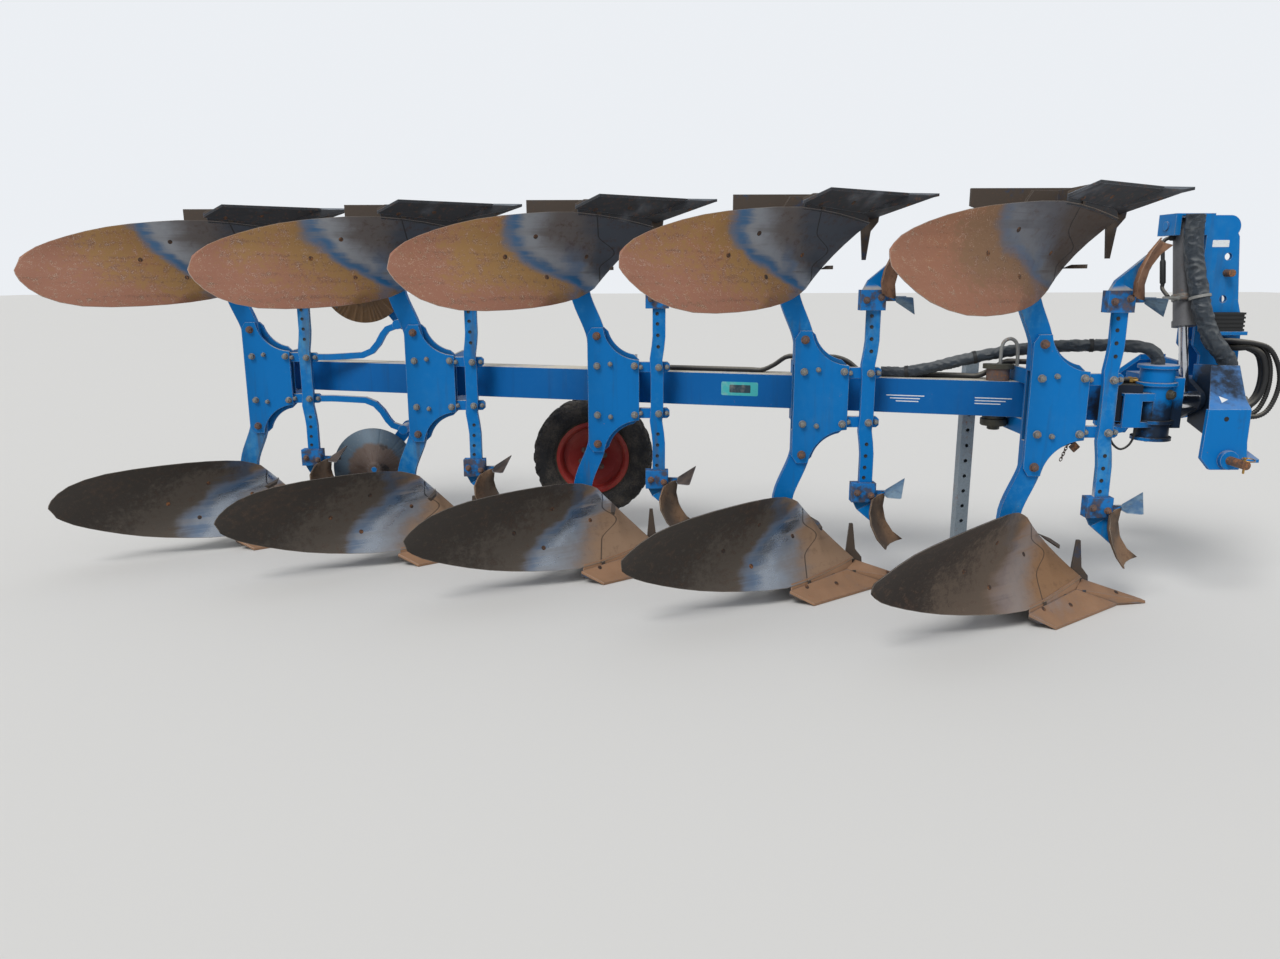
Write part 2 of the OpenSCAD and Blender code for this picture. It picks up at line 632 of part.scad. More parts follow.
// Hoses. The sleeve hangs from the cylinder bracket, passes over the rear web and ends on its front
sleeve_y = turn_y - tower_half - sleeve_r - touch;
sleeve_end = web_front + touch;
sleeve_bend = 50;
sleeve_path = [[724, sleeve_y, 806], [724, sleeve_y, 760], [727, sleeve_y, 690], [734, 222, 600],
    [746, 194, 500], [760, 173, 410], [788, 158, 320], [820, 152, 256], [862, 150, 214], [889, 150, 170],
    [900, 150, 122],
    each [for (a = [0, 45, 67, 90])
        [sleeve_end + 10 + sleeve_bend * cos(a), 150, 80 - sleeve_bend * sin(a)]],
    [sleeve_end, 150, 30]];
module hose_sleeve() color([0.25, 0.26, 0.27]) tube(sleeve_path, sleeve_r);

// Two pipes on the beam's top that rise over the leg brackets, and a thin cable under the drum
pipe_ends = [-1840, 400];
pipe_steps = 38;
pipe_y = [10, 40];
function rise(s) = let (near = max(0, min(1, 1.9 - min(abs(s), abs(s + body_spacing)) / 130)))
    (arm_h + 4) * near * near * (3 - 2 * near);
module pipe(y) tube([for (i = [0:pipe_steps]) let (s = mix(pipe_ends[0], pipe_ends[1], i / pipe_steps))
    [s, y, beam_half + hose_r + touch + rise(s)]], hose_r);
cable_r = 5;
cable_path = [[373, 100, -beam_half - touch], [373, 95, -130], [386, 85, -178], [418, 75, -205],
    [450, 68, -188], [466, 62, -150], [468, 60, bracket_z - touch]];
module beam_hoses() color(dark) {
    along_beam() for (y = pipe_y) pipe(y);
    tube(finer(cable_path, 2), cable_r);
}

// Three hoses loop from the tower's plate round to the front web
loop_rows = [[0, turn_y - tower_half - touch, 260], [0, 240, 260], [26, 198, 260], [74, 165, 254],
    [122, 150, 232], [158, 150, 170], [170, 150, 95], [162, 150, 20], [134, 150, -42], [90, 150, -68]];
loop_x = 918;
module head_hoses() color(dark) for (i = [-1, 0, 1])
    tube(concat([for (j = [0:len(loop_rows) - 1])
        loop_rows[j] + [loop_x + 9 * i * (3 - min(max(j, 1), 6)), j > 1 ? 25 * i : 0, 0]],
        [[bearing_front - 6 + touch, 150 + 25 * i, -68]]), hose_r, [0.2, 0.3, 1]);
block_x = 840;
block_z = 302;
block_w = 146;
block_deep = 66;
rib_h = 9;
module hose_block() color(dark) translate([block_x, turn_y - tower_half - block_deep - touch, block_z])
    for (i = [0:8]) translate([4 * (i % 2), 4 * (i % 2), i * rib_h])
        cube([block_w - 8 * (i % 2), block_deep - 4 * (i % 2), rib_h]);

module place() translate([-middle_x, -middle_y, beam_height]) children();

place() {
    main_beam();
    swivel_head();
    turnover_yoke();
    headstock();
    tower();
    link_pins();
    cylinder_barrel();
    cylinder_rod();
    wheel_bracket();
    wheel_arm();
    wheel_rim();
    wheel_tyre();
    stand_holder();
    parking_stand();
    coulter_arms();
    coulter_disc_lower();
    coulter_disc_upper();
    hose_sleeve();
    beam_hoses();
    head_hoses();
    hose_block();
    for (k = UNITS) {
        leg_bracket(k);
        leg_bars(k);
        frogs(k);
        moldboards(k);
        shares(k);
        skimmers(k);
        skimmer_boards(k);
    }
}
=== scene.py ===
"""Finishes and small fittings of a five-furrow mounted reversible plough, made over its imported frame."""

import math

import bmesh
import bpy
from bpy.props import FloatProperty, FloatVectorProperty, IntProperty, PointerProperty
from mathutils import Matrix, Vector, noise
from mathutils.bvhtree import BVHTree


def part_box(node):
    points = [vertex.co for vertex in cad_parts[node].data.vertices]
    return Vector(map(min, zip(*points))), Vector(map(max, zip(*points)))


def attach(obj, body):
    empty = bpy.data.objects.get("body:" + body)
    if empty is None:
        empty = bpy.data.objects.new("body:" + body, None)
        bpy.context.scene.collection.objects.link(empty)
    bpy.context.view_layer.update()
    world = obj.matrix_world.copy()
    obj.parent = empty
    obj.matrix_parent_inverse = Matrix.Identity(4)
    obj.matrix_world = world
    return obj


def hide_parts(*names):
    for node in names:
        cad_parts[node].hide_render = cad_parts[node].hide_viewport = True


bl_info = {
    "name": "Reversible Plough",
    "version": (1, 0, 0),
    "blender": (4, 5, 0),
    "location": "3D View > Sidebar > Plough",
    "description": "Paint, worn steel, bolts, hoses and a studio for a mounted reversible plough",
    "category": "Object",
}

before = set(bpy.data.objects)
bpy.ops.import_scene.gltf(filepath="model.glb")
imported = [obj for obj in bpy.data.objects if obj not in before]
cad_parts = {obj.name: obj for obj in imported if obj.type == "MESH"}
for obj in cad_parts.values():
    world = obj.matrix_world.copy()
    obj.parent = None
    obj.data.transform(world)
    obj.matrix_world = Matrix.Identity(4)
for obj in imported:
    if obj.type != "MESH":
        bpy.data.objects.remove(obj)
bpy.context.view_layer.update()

# Places are given as on the drawing: millimetres forward, to the left and up from the rear
# bolt column of a body's leg bracket, at half the beam's height.
BODIES = (1, 2, 3, 4, 5)
BEAM_HEIGHT = 0.9
BEAM_TURN = math.radians(17)
first_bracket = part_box("leg_bracket_1")[0]
DATUM = Vector((first_bracket.x + 0.045, first_bracket.y + 0.0325, BEAM_HEIGHT))
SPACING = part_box("leg_bracket_2")[0] - first_bracket
NEAR = Vector((0, -1, 0))
FAR = Vector((0, 1, 0))
UP = Vector((0, 0, 1))
DOWN = Vector((0, 0, -1))

# How far to the left of the legs' middle the faces lie that bolts, labels and welds sit on
CHEEK_FACE = -32.5
BACK_CHEEK_FACE = 32.5
FLANGE_FACE = -17.5
STALK_FACE = -42.5
CLAMP_FACE = -59
SHOULDER_FACE = -132.5
TOWER_FACES = (280, 420)

# The beam's half side, the turnover shaft's line and the cylinder's lean at rest
BEAM_HALF = 80
SHAFT_LINE = 350
CYLINDER_LEAN = math.radians(11.8887)

# The hoses: their height on the beam, where they start at the tower, the line that they
# hang in, how far apart they hang and the face of the front web that they end on
HOSE_REST = BEAM_HALF + 11.3
HOSE_START = 279.7
HOSE_LINE = 150
HOSE_PITCH = 25
WEB_FACE = 968.3


def at(x, y, z, body=1):
    """A place on a plough body, in metres in the frame."""
    return DATUM + SPACING * (body - 1) + Vector((x, y, z)) / 1000


def on_beam(along, across, up):
    """A place by the beam: millimetres along it from the first body, across it and up."""
    turned_place = Matrix.Rotation(-BEAM_TURN, 3, "Z") @ Vector((along, across, up))
    return at(90, 250, 0) + turned_place / 1000


def off_beam(across):
    """The direction square to the beam's side; -1 faces the near side, 1 the far side."""
    return Matrix.Rotation(-BEAM_TURN, 3, "Z") @ Vector((0, across, 0))


def rgb(red, green, blue):
    """A display colour from 0 to 255 as the linear colour that Blender works in."""
    return tuple((c / 255) ** 2.2 for c in (red, green, blue))


def shade(tone, factor):
    """A colour made darker or lighter."""
    return tuple(min(1, c * factor) for c in tone)


# Sizes and colours


def colour(name, description, *value):
    return FloatVectorProperty(
        name=name, description=description, default=rgb(*value), size=3, subtype="COLOR", min=0, max=1
    )


def length(name, description, value):
    return FloatProperty(
        name=name,
        description=description,
        default=value,
        min=0,
        unit="LENGTH",
        subtype="DISTANCE",
        precision=4,
    )


class PloughColours(bpy.types.PropertyGroup):
    """Paint, steel, rubber and dirt."""

    plate_blue: colour("Plate Blue", "Paint of the leg brackets, legs and headstock", 0, 112, 184)
    beam_blue: colour("Beam Blue", "Paint of the main beam", 0, 96, 164)
    faded_blue: colour("Faded Blue", "Paint that the sun and the soil have bleached", 78, 146, 192)
    rust_dark: colour("Dark Rust", "Old rust in pits and chips", 74, 50, 38)
    rust_light: colour("Light Rust", "Fresh rust and ochre film on the boards", 160, 108, 70)
    earth: colour("Earth", "Dry soil and chaff that lie on top of the steel", 206, 198, 182)
    scoured: colour("Scoured Steel", "Steel that the furrow has polished", 172, 180, 190)
    dull_brown: colour("Dull Brown", "Dull brown film on the lower front board", 98, 84, 72)
    rim_red: colour("Rim Red", "Paint of the depth wheel's rim", 150, 40, 34)
    rubber: colour("Rubber", "Tyre and hoses", 34, 34, 35)
    sleeve: colour("Sleeve", "Fabric sleeve round the hoses", 58, 66, 74)
    galvanised: colour("Galvanised", "Zinc of the bolts and bare flecks on the discs", 138, 138, 134)
    chrome: colour("Chrome", "Chromed rod of the turnover cylinder", 214, 216, 220)
    barrel_grey: colour("Barrel Grey", "Paint of the turnover cylinder", 98, 98, 100)
    brass: colour("Brass", "Linch pins and unions", 190, 150, 84)
    label_white: colour("Label White", "Blank labels and the beam's stripes", 226, 230, 232)
    label_turquoise: colour("Label Turquoise", "Blank strip on the beam", 62, 176, 178)
    floor: colour("Floor", "Studio floor", 214, 212, 208)


class PloughSizes(bpy.types.PropertyGroup):
    """Bolts, hoses, treads and welds."""

    bolt: length("Plate Bolt", "Width across the flats of a leg bracket's bolt", 0.027)
    shear_bolt: length("Shear Bolt", "Width across the flats of a shear bolt", 0.030)
    small_bolt: length("Small Bolt", "Width across the flats of a clamp's bolt", 0.022)
    board_bolt: length("Board Bolt", "Radius of a plough bolt's flush head", 0.011)
    hose: length("Hose", "Radius of a hydraulic hose", 0.011)
    sleeve: length("Sleeve", "Radius of the fabric sleeve", 0.041)
    weld: length("Weld", "Radius of a weld bead", 0.006)
    lug_height: length("Lug Height", "Height of the tyre's lugs", 0.009)
    lugs: IntProperty(name="Lugs", description="Lugs along one side of the tyre", default=26, min=8, max=60)


def colours():
    return bpy.context.scene.plough_colours


def sizes():
    return bpy.context.scene.plough_sizes


# Finishes


class Value:
    """A node's output. Python's signs on it add the maths nodes."""

    def __init__(self, nodes, socket):
        self.nodes = nodes
        self.socket = socket

    def __add__(self, other):
        return self.nodes.maths("ADD", self, other)

    def __radd__(self, other):
        return self.nodes.maths("ADD", other, self)

    def __sub__(self, other):
        return self.nodes.maths("SUBTRACT", self, other)

    def __rsub__(self, other):
        return self.nodes.maths("SUBTRACT", other, self)

    def __mul__(self, other):
        return self.nodes.maths("MULTIPLY", self, other)

    def __pow__(self, other):
        return self.nodes.maths("POWER", self, other)

    def between(self, low, high):
        """0 below low, 1 above high and a soft rise from one to the other."""
        settings = {"interpolation_type": "SMOOTHSTEP"}
        return self.nodes.node("ShaderNodeMapRange", settings, {0: self, 1: low, 2: high})

    def near(self, middle, reach):
        """1 at the middle, fading to 0 at the reach on both sides."""
        return self.nodes.maths("ABSOLUTE", self - middle, 0).between(reach, 0)


class Nodes:
    """The nodes of a material or of the world."""

    def __init__(self, tree):
        self.tree = tree

    def node(self, kind, settings=None, inputs=None, output=0):
        """Any node: its settings are set first, then its sockets by name or number. It gives the
        output of a name or number, or with None all its outputs."""
        made = self.tree.nodes.new(kind)
        for name, value in (settings or {}).items():
            setattr(made, name, value)
        for name, value in (inputs or {}).items():
            self.put(made.inputs[name], value)
        if output is None:
            return [Value(self, socket) for socket in made.outputs]
        return Value(self, made.outputs[output])

    def put(self, socket, value):
        if isinstance(value, Value):
            self.tree.links.new(value.socket, socket)
        elif socket.type == "RGBA" and len(value) == 3:
            socket.default_value = (*value, 1)
        else:
            socket.default_value = value

    def maths(self, operation, first, second):
        return self.node("ShaderNodeMath", {"operation": operation}, {0: first, 1: second})


class Finish(Nodes):
    """A material in the making."""

    def __init__(self, name):
        self.material = bpy.data.materials.new(name)
        self.material.use_nodes = True
        super().__init__(self.material.node_tree)
        self.shader = self.tree.nodes["Principled BSDF"]
        self.place = self.node("ShaderNodeTexCoord", output="Object")

    def mix(self, mask, under, over):
        """One colour over another by a mask."""
        settings = {"data_type": "RGBA", "clamp_factor": True}
        return self.node("ShaderNodeMix", settings, {0: mask, 6: under, 7: over}, output=2)

    def parts(self, vector):
        """The three numbers of a vector."""
        return self.node("ShaderNodeSeparateXYZ", None, {0: vector}, output=None)

    def stretched(self, x, y, z):
        return self.node("ShaderNodeMapping", None, {"Vector": self.place, "Scale": (x, y, z)})

    def noise(self, scale, detail=4, roughness=0.55, place=None, distortion=0):
        """Cloudy noise about one half."""
        inputs = {"Vector": place or self.place, "Scale": scale, "Detail": detail}
        inputs |= {"Roughness": roughness, "Distortion": distortion}
        return self.node("ShaderNodeTexNoise", None, inputs)

    def along_surface(self):
        """The piece's own map: metres along it and across it."""
        return self.parts(self.node("ShaderNodeUVMap", {"uv_map": "surface"}))

    def rounded(self, radius):
        """A softened normal, and a mask that is above zero along the edges that it softens."""
        soft = self.node("ShaderNodeBevel", {"samples": 4}, {"Radius": radius})
        flat = self.node("ShaderNodeNewGeometry", output="Normal")
        same = self.node("ShaderNodeVectorMath", {"operation": "DOT_PRODUCT"}, {0: soft, 1: flat}, output=1)
        return soft, 1 - same

    def crevices(self, distance):
        """1 in a corner, where dirt stays and shade falls, 0 in the open."""
        settings = {"samples": 4, "only_local": True}
        return 1 - self.node("ShaderNodeAmbientOcclusion", settings, {"Distance": distance}, output=1)

    def upward(self):
        """How far the surface faces up when the plough stands as it does at rest."""
        return self.parts(self.node("ShaderNodeTexCoord", output="Normal"))[2]

    def around(self, place, reach):
        """1 at a place, fading to 0 at the reach."""
        settings = {"operation": "DISTANCE"}
        away = self.node("ShaderNodeVectorMath", settings, {0: self.place, 1: tuple(place)}, output=1)
        return away.between(reach, 0)

    def rust(self, grain):
        return self.mix(grain.between(0.35, 0.65), colours().rust_dark, colours().rust_light)

    def done(self, base, roughness, metallic=0.0, relief=None, depth=0.001, normal=None, constants=None):
        """Wires the shader, sets the constants on its sockets by name and gives the material back."""
        self.put(self.shader.inputs["Base Color"], base)
        self.put(self.shader.inputs["Roughness"], roughness)
        self.put(self.shader.inputs["Metallic"], metallic)
        for name, value in (constants or {}).items():
            self.put(self.shader.inputs[name], value)
        if relief is not None:
            inputs = {"Height": relief, "Distance": depth, "Strength": 1.0}
            if normal is not None:
                inputs["Normal"] = normal
            normal = self.node("ShaderNodeBump", None, inputs)
        if normal is not None:
            self.put(self.shader.inputs["Normal"], normal)
        return self.material


def blue_paint(name, paint, wear, dust, fade, grease=None):
    """Gloss paint with bleached clouds, runs, pale worn edges with a painted highlight, dark corners of dirt
    and painted shade, chips gone to rust, and soil on upward faces that also paints the light falling on
    them. Grease, where there is any, is the place that it spreads from and how far it reaches; its dark also
    paints the shade of the deep parts there."""
    finish = Finish(name)
    cloud = finish.noise(2.3, 5)
    grain = finish.noise(24, 6, 0.65)
    fine = finish.noise(150, 3)
    runs = finish.noise(1, 4, place=finish.stretched(30, 30, 2.5))
    soft, edge = finish.rounded(0.004)
    corner = finish.crevices(0.07)
    bleached = (cloud * 0.6 + grain * 0.4).between(0.46, 0.72) * fade
    # Pale along the edges: worn paint, and a painted highlight where the edges catch the sky.
    worn_edge_and_highlight = edge.between(0.015, 0.13) * (fine * 0.7 + grain * 0.6).between(0.40, 0.70)
    chips = (grain * 0.55 + fine * 0.45 + edge * wear).between(0.66, 0.70)
    # Soil on upward faces, as strong as dust sets it; it also lightens those faces as painted light from the
    # sky.
    dust_and_top_light = finish.upward().between(0.55, 0.98) * (grain * 0.6 + cloud * 0.7).between(0.25, 0.7) * dust
    # Dark in the corners: dirt, and painted shade where the corners are shaded.
    corner_grime_and_shade = (corner.between(0.22, 0.75) * (0.4 + grain)).between(0.1, 0.9) * 0.8
    stain = (runs * 0.6 + cloud * 0.5).between(0.56, 0.72) * fade
    base = finish.mix(bleached, paint, colours().faded_blue)
    base = finish.mix(runs.between(0.52, 0.75) * 0.25, base, shade(paint, 0.5))
    base = finish.mix(stain * 0.6, base, rgb(84, 92, 96))
    base = finish.mix(worn_edge_and_highlight * 0.9, base, rgb(176, 206, 222))
    base = finish.mix(corner_grime_and_shade, base, rgb(46, 42, 38))
    base = finish.mix(dust_and_top_light, base, colours().earth)
    base = finish.mix(chips, base, finish.rust(fine))
    roughness = 0.40 + bleached * 0.2 + grain * 0.12 + dust_and_top_light * 0.4 + chips * 0.3 + corner_grime_and_shade * 0.25
    if grease:
        centre, reach = grease
        # Dark grease spreading from a place, which also paints the shade of the deep parts round it.
        spread = finish.around(centre, reach) + (cloud - 0.5) * 0.9 + (grain - 0.5) * 0.5 + corner * 0.25
        grease_and_shade = spread.between(0.35, 0.62)
        base = finish.mix(grease_and_shade * 0.93, base, rgb(36, 34, 30))
        roughness = roughness - grease_and_shade * 0.15
    relief = fine * 0.12 + grain * 0.25 - chips * 0.5 + dust_and_top_light * grain * 1.2
    return finish.done(base, roughness, 0.0, relief, 0.0012, soft, {"Specular IOR Level": 0.17})


def board_steel(name, tail, middle, ahead, front, bend, film, shine, bloom):
    """Moldboard steel: rust at the tail, ochre or brown in the middle, then a crescent where the furrow slice
    turns, with a painted reflection of the blue legs in it, and scoured steel ahead up to the shin's seam.
    Bend is how far behind the shin the crescent stands; film, shine and bloom are the strengths of the
    painted reflection, the polish and the rust."""
    finish = Finish(name)
    along, height, _ = finish.along_surface()
    flow = finish.node("ShaderNodeCombineXYZ", None, {0: along * 2.0, 1: height * 26, 2: along * 0.4})
    streaks = finish.noise(1, 5, 0.6, place=flow, distortion=0.6)
    cloud = finish.noise(3.2, 5)
    mottle = finish.noise(34, 6, 0.7)
    pits = finish.noise(240, 2)
    soft, edge = finish.rounded(0.005)
    drift = (cloud - 0.5) * 0.30 + (streaks - 0.5) * 0.12
    place = along + (0.77 - height) ** 2 * 4.2 - bend + drift
    behind = place.between(-0.035, 0.085)
    base = finish.mix(behind, ahead, middle)
    base = finish.mix((place + (mottle - 0.5) * 0.9 + (cloud - 0.5) * 0.5).between(0.12, 0.46), base, tail)
    base = finish.mix((along + drift).between(0.10, -0.04), base, front)
    ochre = (mottle * 0.6 + cloud * 0.5).between(0.56, 0.74) * behind
    base = finish.mix(ochre * bloom, base, colours().rust_light)
    specks = (mottle * 0.7 + streaks * 0.4).between(0.54, 0.72)
    base = finish.mix(specks * (0.2 + bloom * 0.7), base, colours().rust_dark)
    crumbs = (pits * 0.5 + mottle * 0.6).between(0.58, 0.70)
    base = finish.mix(crumbs * behind * bloom, base, rgb(192, 168, 146))
    scoured = place.near(-0.08, 0.15) * (0.75 + (streaks - 0.5) * 2.2 + (cloud - 0.5)).between(0.0, 0.7)
    base = finish.mix(scoured * shine, base, colours().scoured)
    # The blue crescent and the slate-blue streak ahead of it: a painted reflection of the blue legs in the
    # polished steel.
    blue = place.near(0.0, 0.07) * (streaks * 0.8 + cloud * 0.5).between(0.42, 0.72)
    blue = blue + (along + drift).near(0.10, 0.06) * height.between(0.72, 0.58) * 0.5
    base = finish.mix(blue * film, base, rgb(46, 102, 148))
    seam = (along + 0.018 + height.near(0.655, 0.075) * 0.07).near(0, 0.005)
    base = finish.mix(seam * 0.85, base, rgb(34, 32, 31))
    base = finish.mix(edge.between(0.01, 0.10) * 0.7, base, rgb(176, 164, 150))
    roughness = 0.58 - scoured * shine * 0.40 - blue * 0.12 + mottle * 0.12
    metallic = 0.15 + scoured * shine * 0.75
    relief = (streaks * 0.12 + mottle * 0.4 + pits * 0.12) * (1 - scoured * 0.92) - seam
    return finish.done(base, roughness, metallic, relief, 0.0010, soft)


def ground(name, cloud_scale, grain_scale, edge_radius, grain_detail=6):
    """A new finish with its slow clouds, its fine grain, a softened normal and a mask along edges."""
    finish = Finish(name)
    cloud = finish.noise(cloud_scale, 5)
    grain = finish.noise(grain_scale, grain_detail, 0.7)
    return finish, cloud, grain, *finish.rounded(edge_radius)


def share_steel(name, film, bloom):
    """Shares and points: a film of rust or slate, scoured towards the cutting edge, pitted."""
    finish, cloud, mottle, soft, edge = ground(name, 5, 46, 0.003)
    base = finish.mix(cloud.between(0.38, 0.66) * 0.6, film, shade(film, 0.7))
    base = finish.mix(mottle.between(0.52, 0.7) * bloom, base, colours().rust_light)
    base = finish.mix((mottle * 0.6 + cloud * 0.4).between(0.58, 0.72) * 0.5, base, colours().rust_dark)
    bright = (edge * 2 + (cloud - 0.5)).between(0.05, 0.4)
    base = finish.mix(bright * 0.5, base, colours().scoured)
    relief = mottle * 0.6 + cloud * 0.3
    return finish.done(base, 0.68 - bright * 0.3 + mottle * 0.1, 0.2 + bright * 0.5, relief, 0.0012, soft)


def skimmer_steel(name, film, bright):
    """Skimmer boards: a brown film with a lighter bloom and a pale rim."""
    finish, cloud, mottle, soft, edge = ground(name, 7, 50, 0.004)
    base = finish.mix(cloud.between(0.4, 0.62), film, bright)
    base = finish.mix(mottle.between(0.5, 0.7) * 0.5, base, colours().rust_dark)
    base = finish.mix(edge.between(0.01, 0.10) * 0.6, base, rgb(196, 184, 168))
    return finish.done(base, 0.6 + mottle * 0.2, 0.2, mottle * 0.5 + cloud * 0.3, 0.001, soft)


def frog_iron(name):
    """Cast frogs: blue paint that soil has mostly taken off."""
    finish, cloud, grain, soft, edge = ground(name, 6, 60, 0.004)
    corner = finish.crevices(0.06)
    base = finish.mix((cloud * 0.7 + grain * 0.3).between(0.30, 0.46), rgb(34, 68, 102), rgb(78, 68, 60))
    base = finish.mix(corner.between(0.2, 0.8) * 0.7, base, rgb(92, 80, 68))
    base = finish.mix(grain.between(0.56, 0.76) * 0.6, base, rgb(112, 82, 62))
    base = finish.mix(edge.between(0.03, 0.15) * 0.5, base, rgb(120, 116, 112))
    return finish.done(base, 0.72 + grain * 0.15, 0.1, grain * 0.6 + cloud * 0.4, 0.0015, soft)


def disc_steel(name, middle, rim):
    """Coulter discs: a dirty middle, a worn rim and dirt thrown outward from the hub."""
    finish = Finish(name)
    along, turn, _ = finish.along_surface()
    rays = finish.noise(1, 4, place=finish.node("ShaderNodeCombineXYZ", None, {0: along * 9, 1: turn * 26}))
    mottle = finish.noise(60, 5, 0.7)
    cloud = finish.noise(11, 4)
    soft, edge = finish.rounded(0.002)
    outer = (along + (rays - 0.5) * 0.05).between(0.135, 0.160)
    base = finish.mix(outer, middle, rim)
    base = finish.mix(rays.between(0.5, 0.68) * 0.35 * (1 - outer * 0.7), base, colours().rust_dark)
    base = finish.mix(cloud.between(0.56, 0.64) * (1 - outer) * 0.7, base, rgb(34, 36, 38))
    base = finish.mix(mottle.between(0.55, 0.7) * 0.25, base, colours().galvanised)
    base = finish.mix(edge.between(0.02, 0.1) * 0.6, base, rgb(150, 156, 160))
    return finish.done(base, 0.55 + mottle * 0.15 - outer * 0.1, 0.3, mottle * 0.4 + rays * 0.3, 0.0008, soft)


def bare_wing(name, film, bright):
    """Skimmer wings: a bare steel film with streaks, scratches and a pale edge."""
    finish = Finish(name)
    cloud = finish.noise(12, 5)
    scratches = finish.noise(1, 5, 0.7, place=finish.stretched(8, 40, 90))
    soft, edge = finish.rounded(0.003)
    base = finish.mix(cloud.between(0.38, 0.62), film, bright)
    base = finish.mix(scratches.between(0.5, 0.66) * 0.4, base, rgb(62, 60, 60))
    base = finish.mix(edge.between(0.01, 0.10) * 0.6, base, rgb(196, 200, 204))
    return finish.done(base, 0.5 + scratches * 0.2, 0.25, scratches * 0.6 + cloud * 0.3, 0.0008, soft)


def clamp_paint(name):
    """Skimmer clamps: blue paint under rust and grease, and darker in the corners."""
    finish, cloud, grain, soft, edge = ground(name, 26, 90, 0.003)
    corner = finish.crevices(0.04)
    base = finish.mix(cloud.between(0.42, 0.60) * 0.8, colours().plate_blue, rgb(62, 66, 74))
    base = finish.mix((cloud * 0.5 + grain * 0.5).between(0.50, 0.62) * 0.6, base, rgb(98, 74, 62))
    # Darker in the corners.
    base = finish.mix(corner.between(0.2, 0.8) * 0.8, base, rgb(46, 42, 38))
    base = finish.mix(edge.between(0.02, 0.12) * 0.5, base, rgb(140, 160, 176))
    return finish.done(base, 0.6 + grain * 0.2, 0.1, grain * 0.8 + cloud * 0.4, 0.0012, soft)


def worn_metal(name, tone, rustiness, roughness, metallic, relief=0.0008):
    """Bare or plated metal with rust bloom and darker handling marks."""
    finish, cloud, grain, soft, edge = ground(name, 14, 120, 0.0015, 5)
    bloom = (cloud * 0.6 + grain * 0.5).between(0.72 - rustiness, 0.86 - rustiness * 0.6)
    base = finish.mix(grain.between(0.45, 0.7) * 0.4, tone, shade(tone, 0.5))
    base = finish.mix(bloom, base, finish.rust(grain))
    base = finish.mix(edge.between(0.02, 0.15) * 0.5, base, shade(tone, 1.6))
    rough = roughness + grain * 0.15 + bloom * 0.3
    return finish.done(base, rough, metallic - bloom * metallic * 0.8, grain + cloud * 0.4, relief, soft)


def rod_chrome(name):
    """Hard chrome with fine rings and a thin oily film."""
    finish = Finish(name)
    film = finish.noise(40, 4)
    rings = finish.noise(1, 2, place=finish.stretched(3, 3, 240))
    base = finish.mix(film.between(0.5, 0.8) * 0.25, colours().chrome, rgb(150, 140, 126))
    return finish.done(base, 0.10 + film * 0.10 + rings * 0.04, 1.0, rings, 0.0001)


def label(name, tone):
    """A blank printed strip, dusty, with lifted and scratched edges."""
    finish = Finish(name)
    film = finish.noise(20, 5)
    scratches = finish.noise(1, 3, place=finish.stretched(60, 60, 400))
    base = finish.mix(film.between(0.45, 0.75) * 0.35, tone, colours().earth)
    base = finish.mix(scratches.between(0.62, 0.7) * 0.6, base, rgb(60, 74, 92))
    return finish.done(base, 0.42 + film * 0.2, 0.0, film, 0.0002)


def tyre_rubber(name):
    """Tyre rubber, grey with dust on the crown and soil between the lugs."""
    finish = Finish(name)
    cloud = finish.noise(9, 5)
    grain = finish.noise(120, 5, 0.7)
    soil = finish.crevices(0.02)
    dust = (cloud * 0.6 + grain * 0.4).between(0.42, 0.66)
    base = finish.mix(dust * 0.5, colours().rubber, rgb(112, 102, 90))
    base = finish.mix(soil.between(0.2, 0.7) * 0.7, base, rgb(126, 110, 92))
    return finish.done(base, 0.78 + grain * 0.12, 0.0, grain * 0.6 + cloud * 0.2, 0.0008)


def rim_paint(name):
    """Red rim paint, bleached, with rust round the bolt circle and dust in the dish."""
    finish, cloud, grain, soft, edge = ground(name, 8, 70, 0.003)
    corner = finish.crevices(0.05)
    base = finish.mix(cloud.between(0.42, 0.7) * 0.5, colours().rim_red, rgb(172, 84, 70))
    base = finish.mix(corner.between(0.2, 0.8) * 0.5, base, rgb(84, 62, 52))
    base = finish.mix((grain + edge * 0.8).between(0.62, 0.72), base, finish.rust(cloud))
    return finish.done(base, 0.5 + grain * 0.2, 0.0, grain * 0.5, 0.0008, soft)


def hose_rubber(name):
    """Black hose rubber with a dusty upper side and fine wrap marks."""
    finish = Finish(name)
    grain = finish.noise(90, 5, 0.7)
    wrap = finish.node("ShaderNodeTexWave", None, {"Vector": finish.place, "Scale": 90, "Distortion": 3})
    dust = finish.upward().between(0.2, 1.0) * (grain + 0.2) * 0.45
    base = finish.mix(dust, colours().rubber, colours().earth)
    return finish.done(base, 0.5 + grain * 0.2 + dust * 0.3, 0.0, wrap * 0.3 + grain * 0.3, 0.0004)


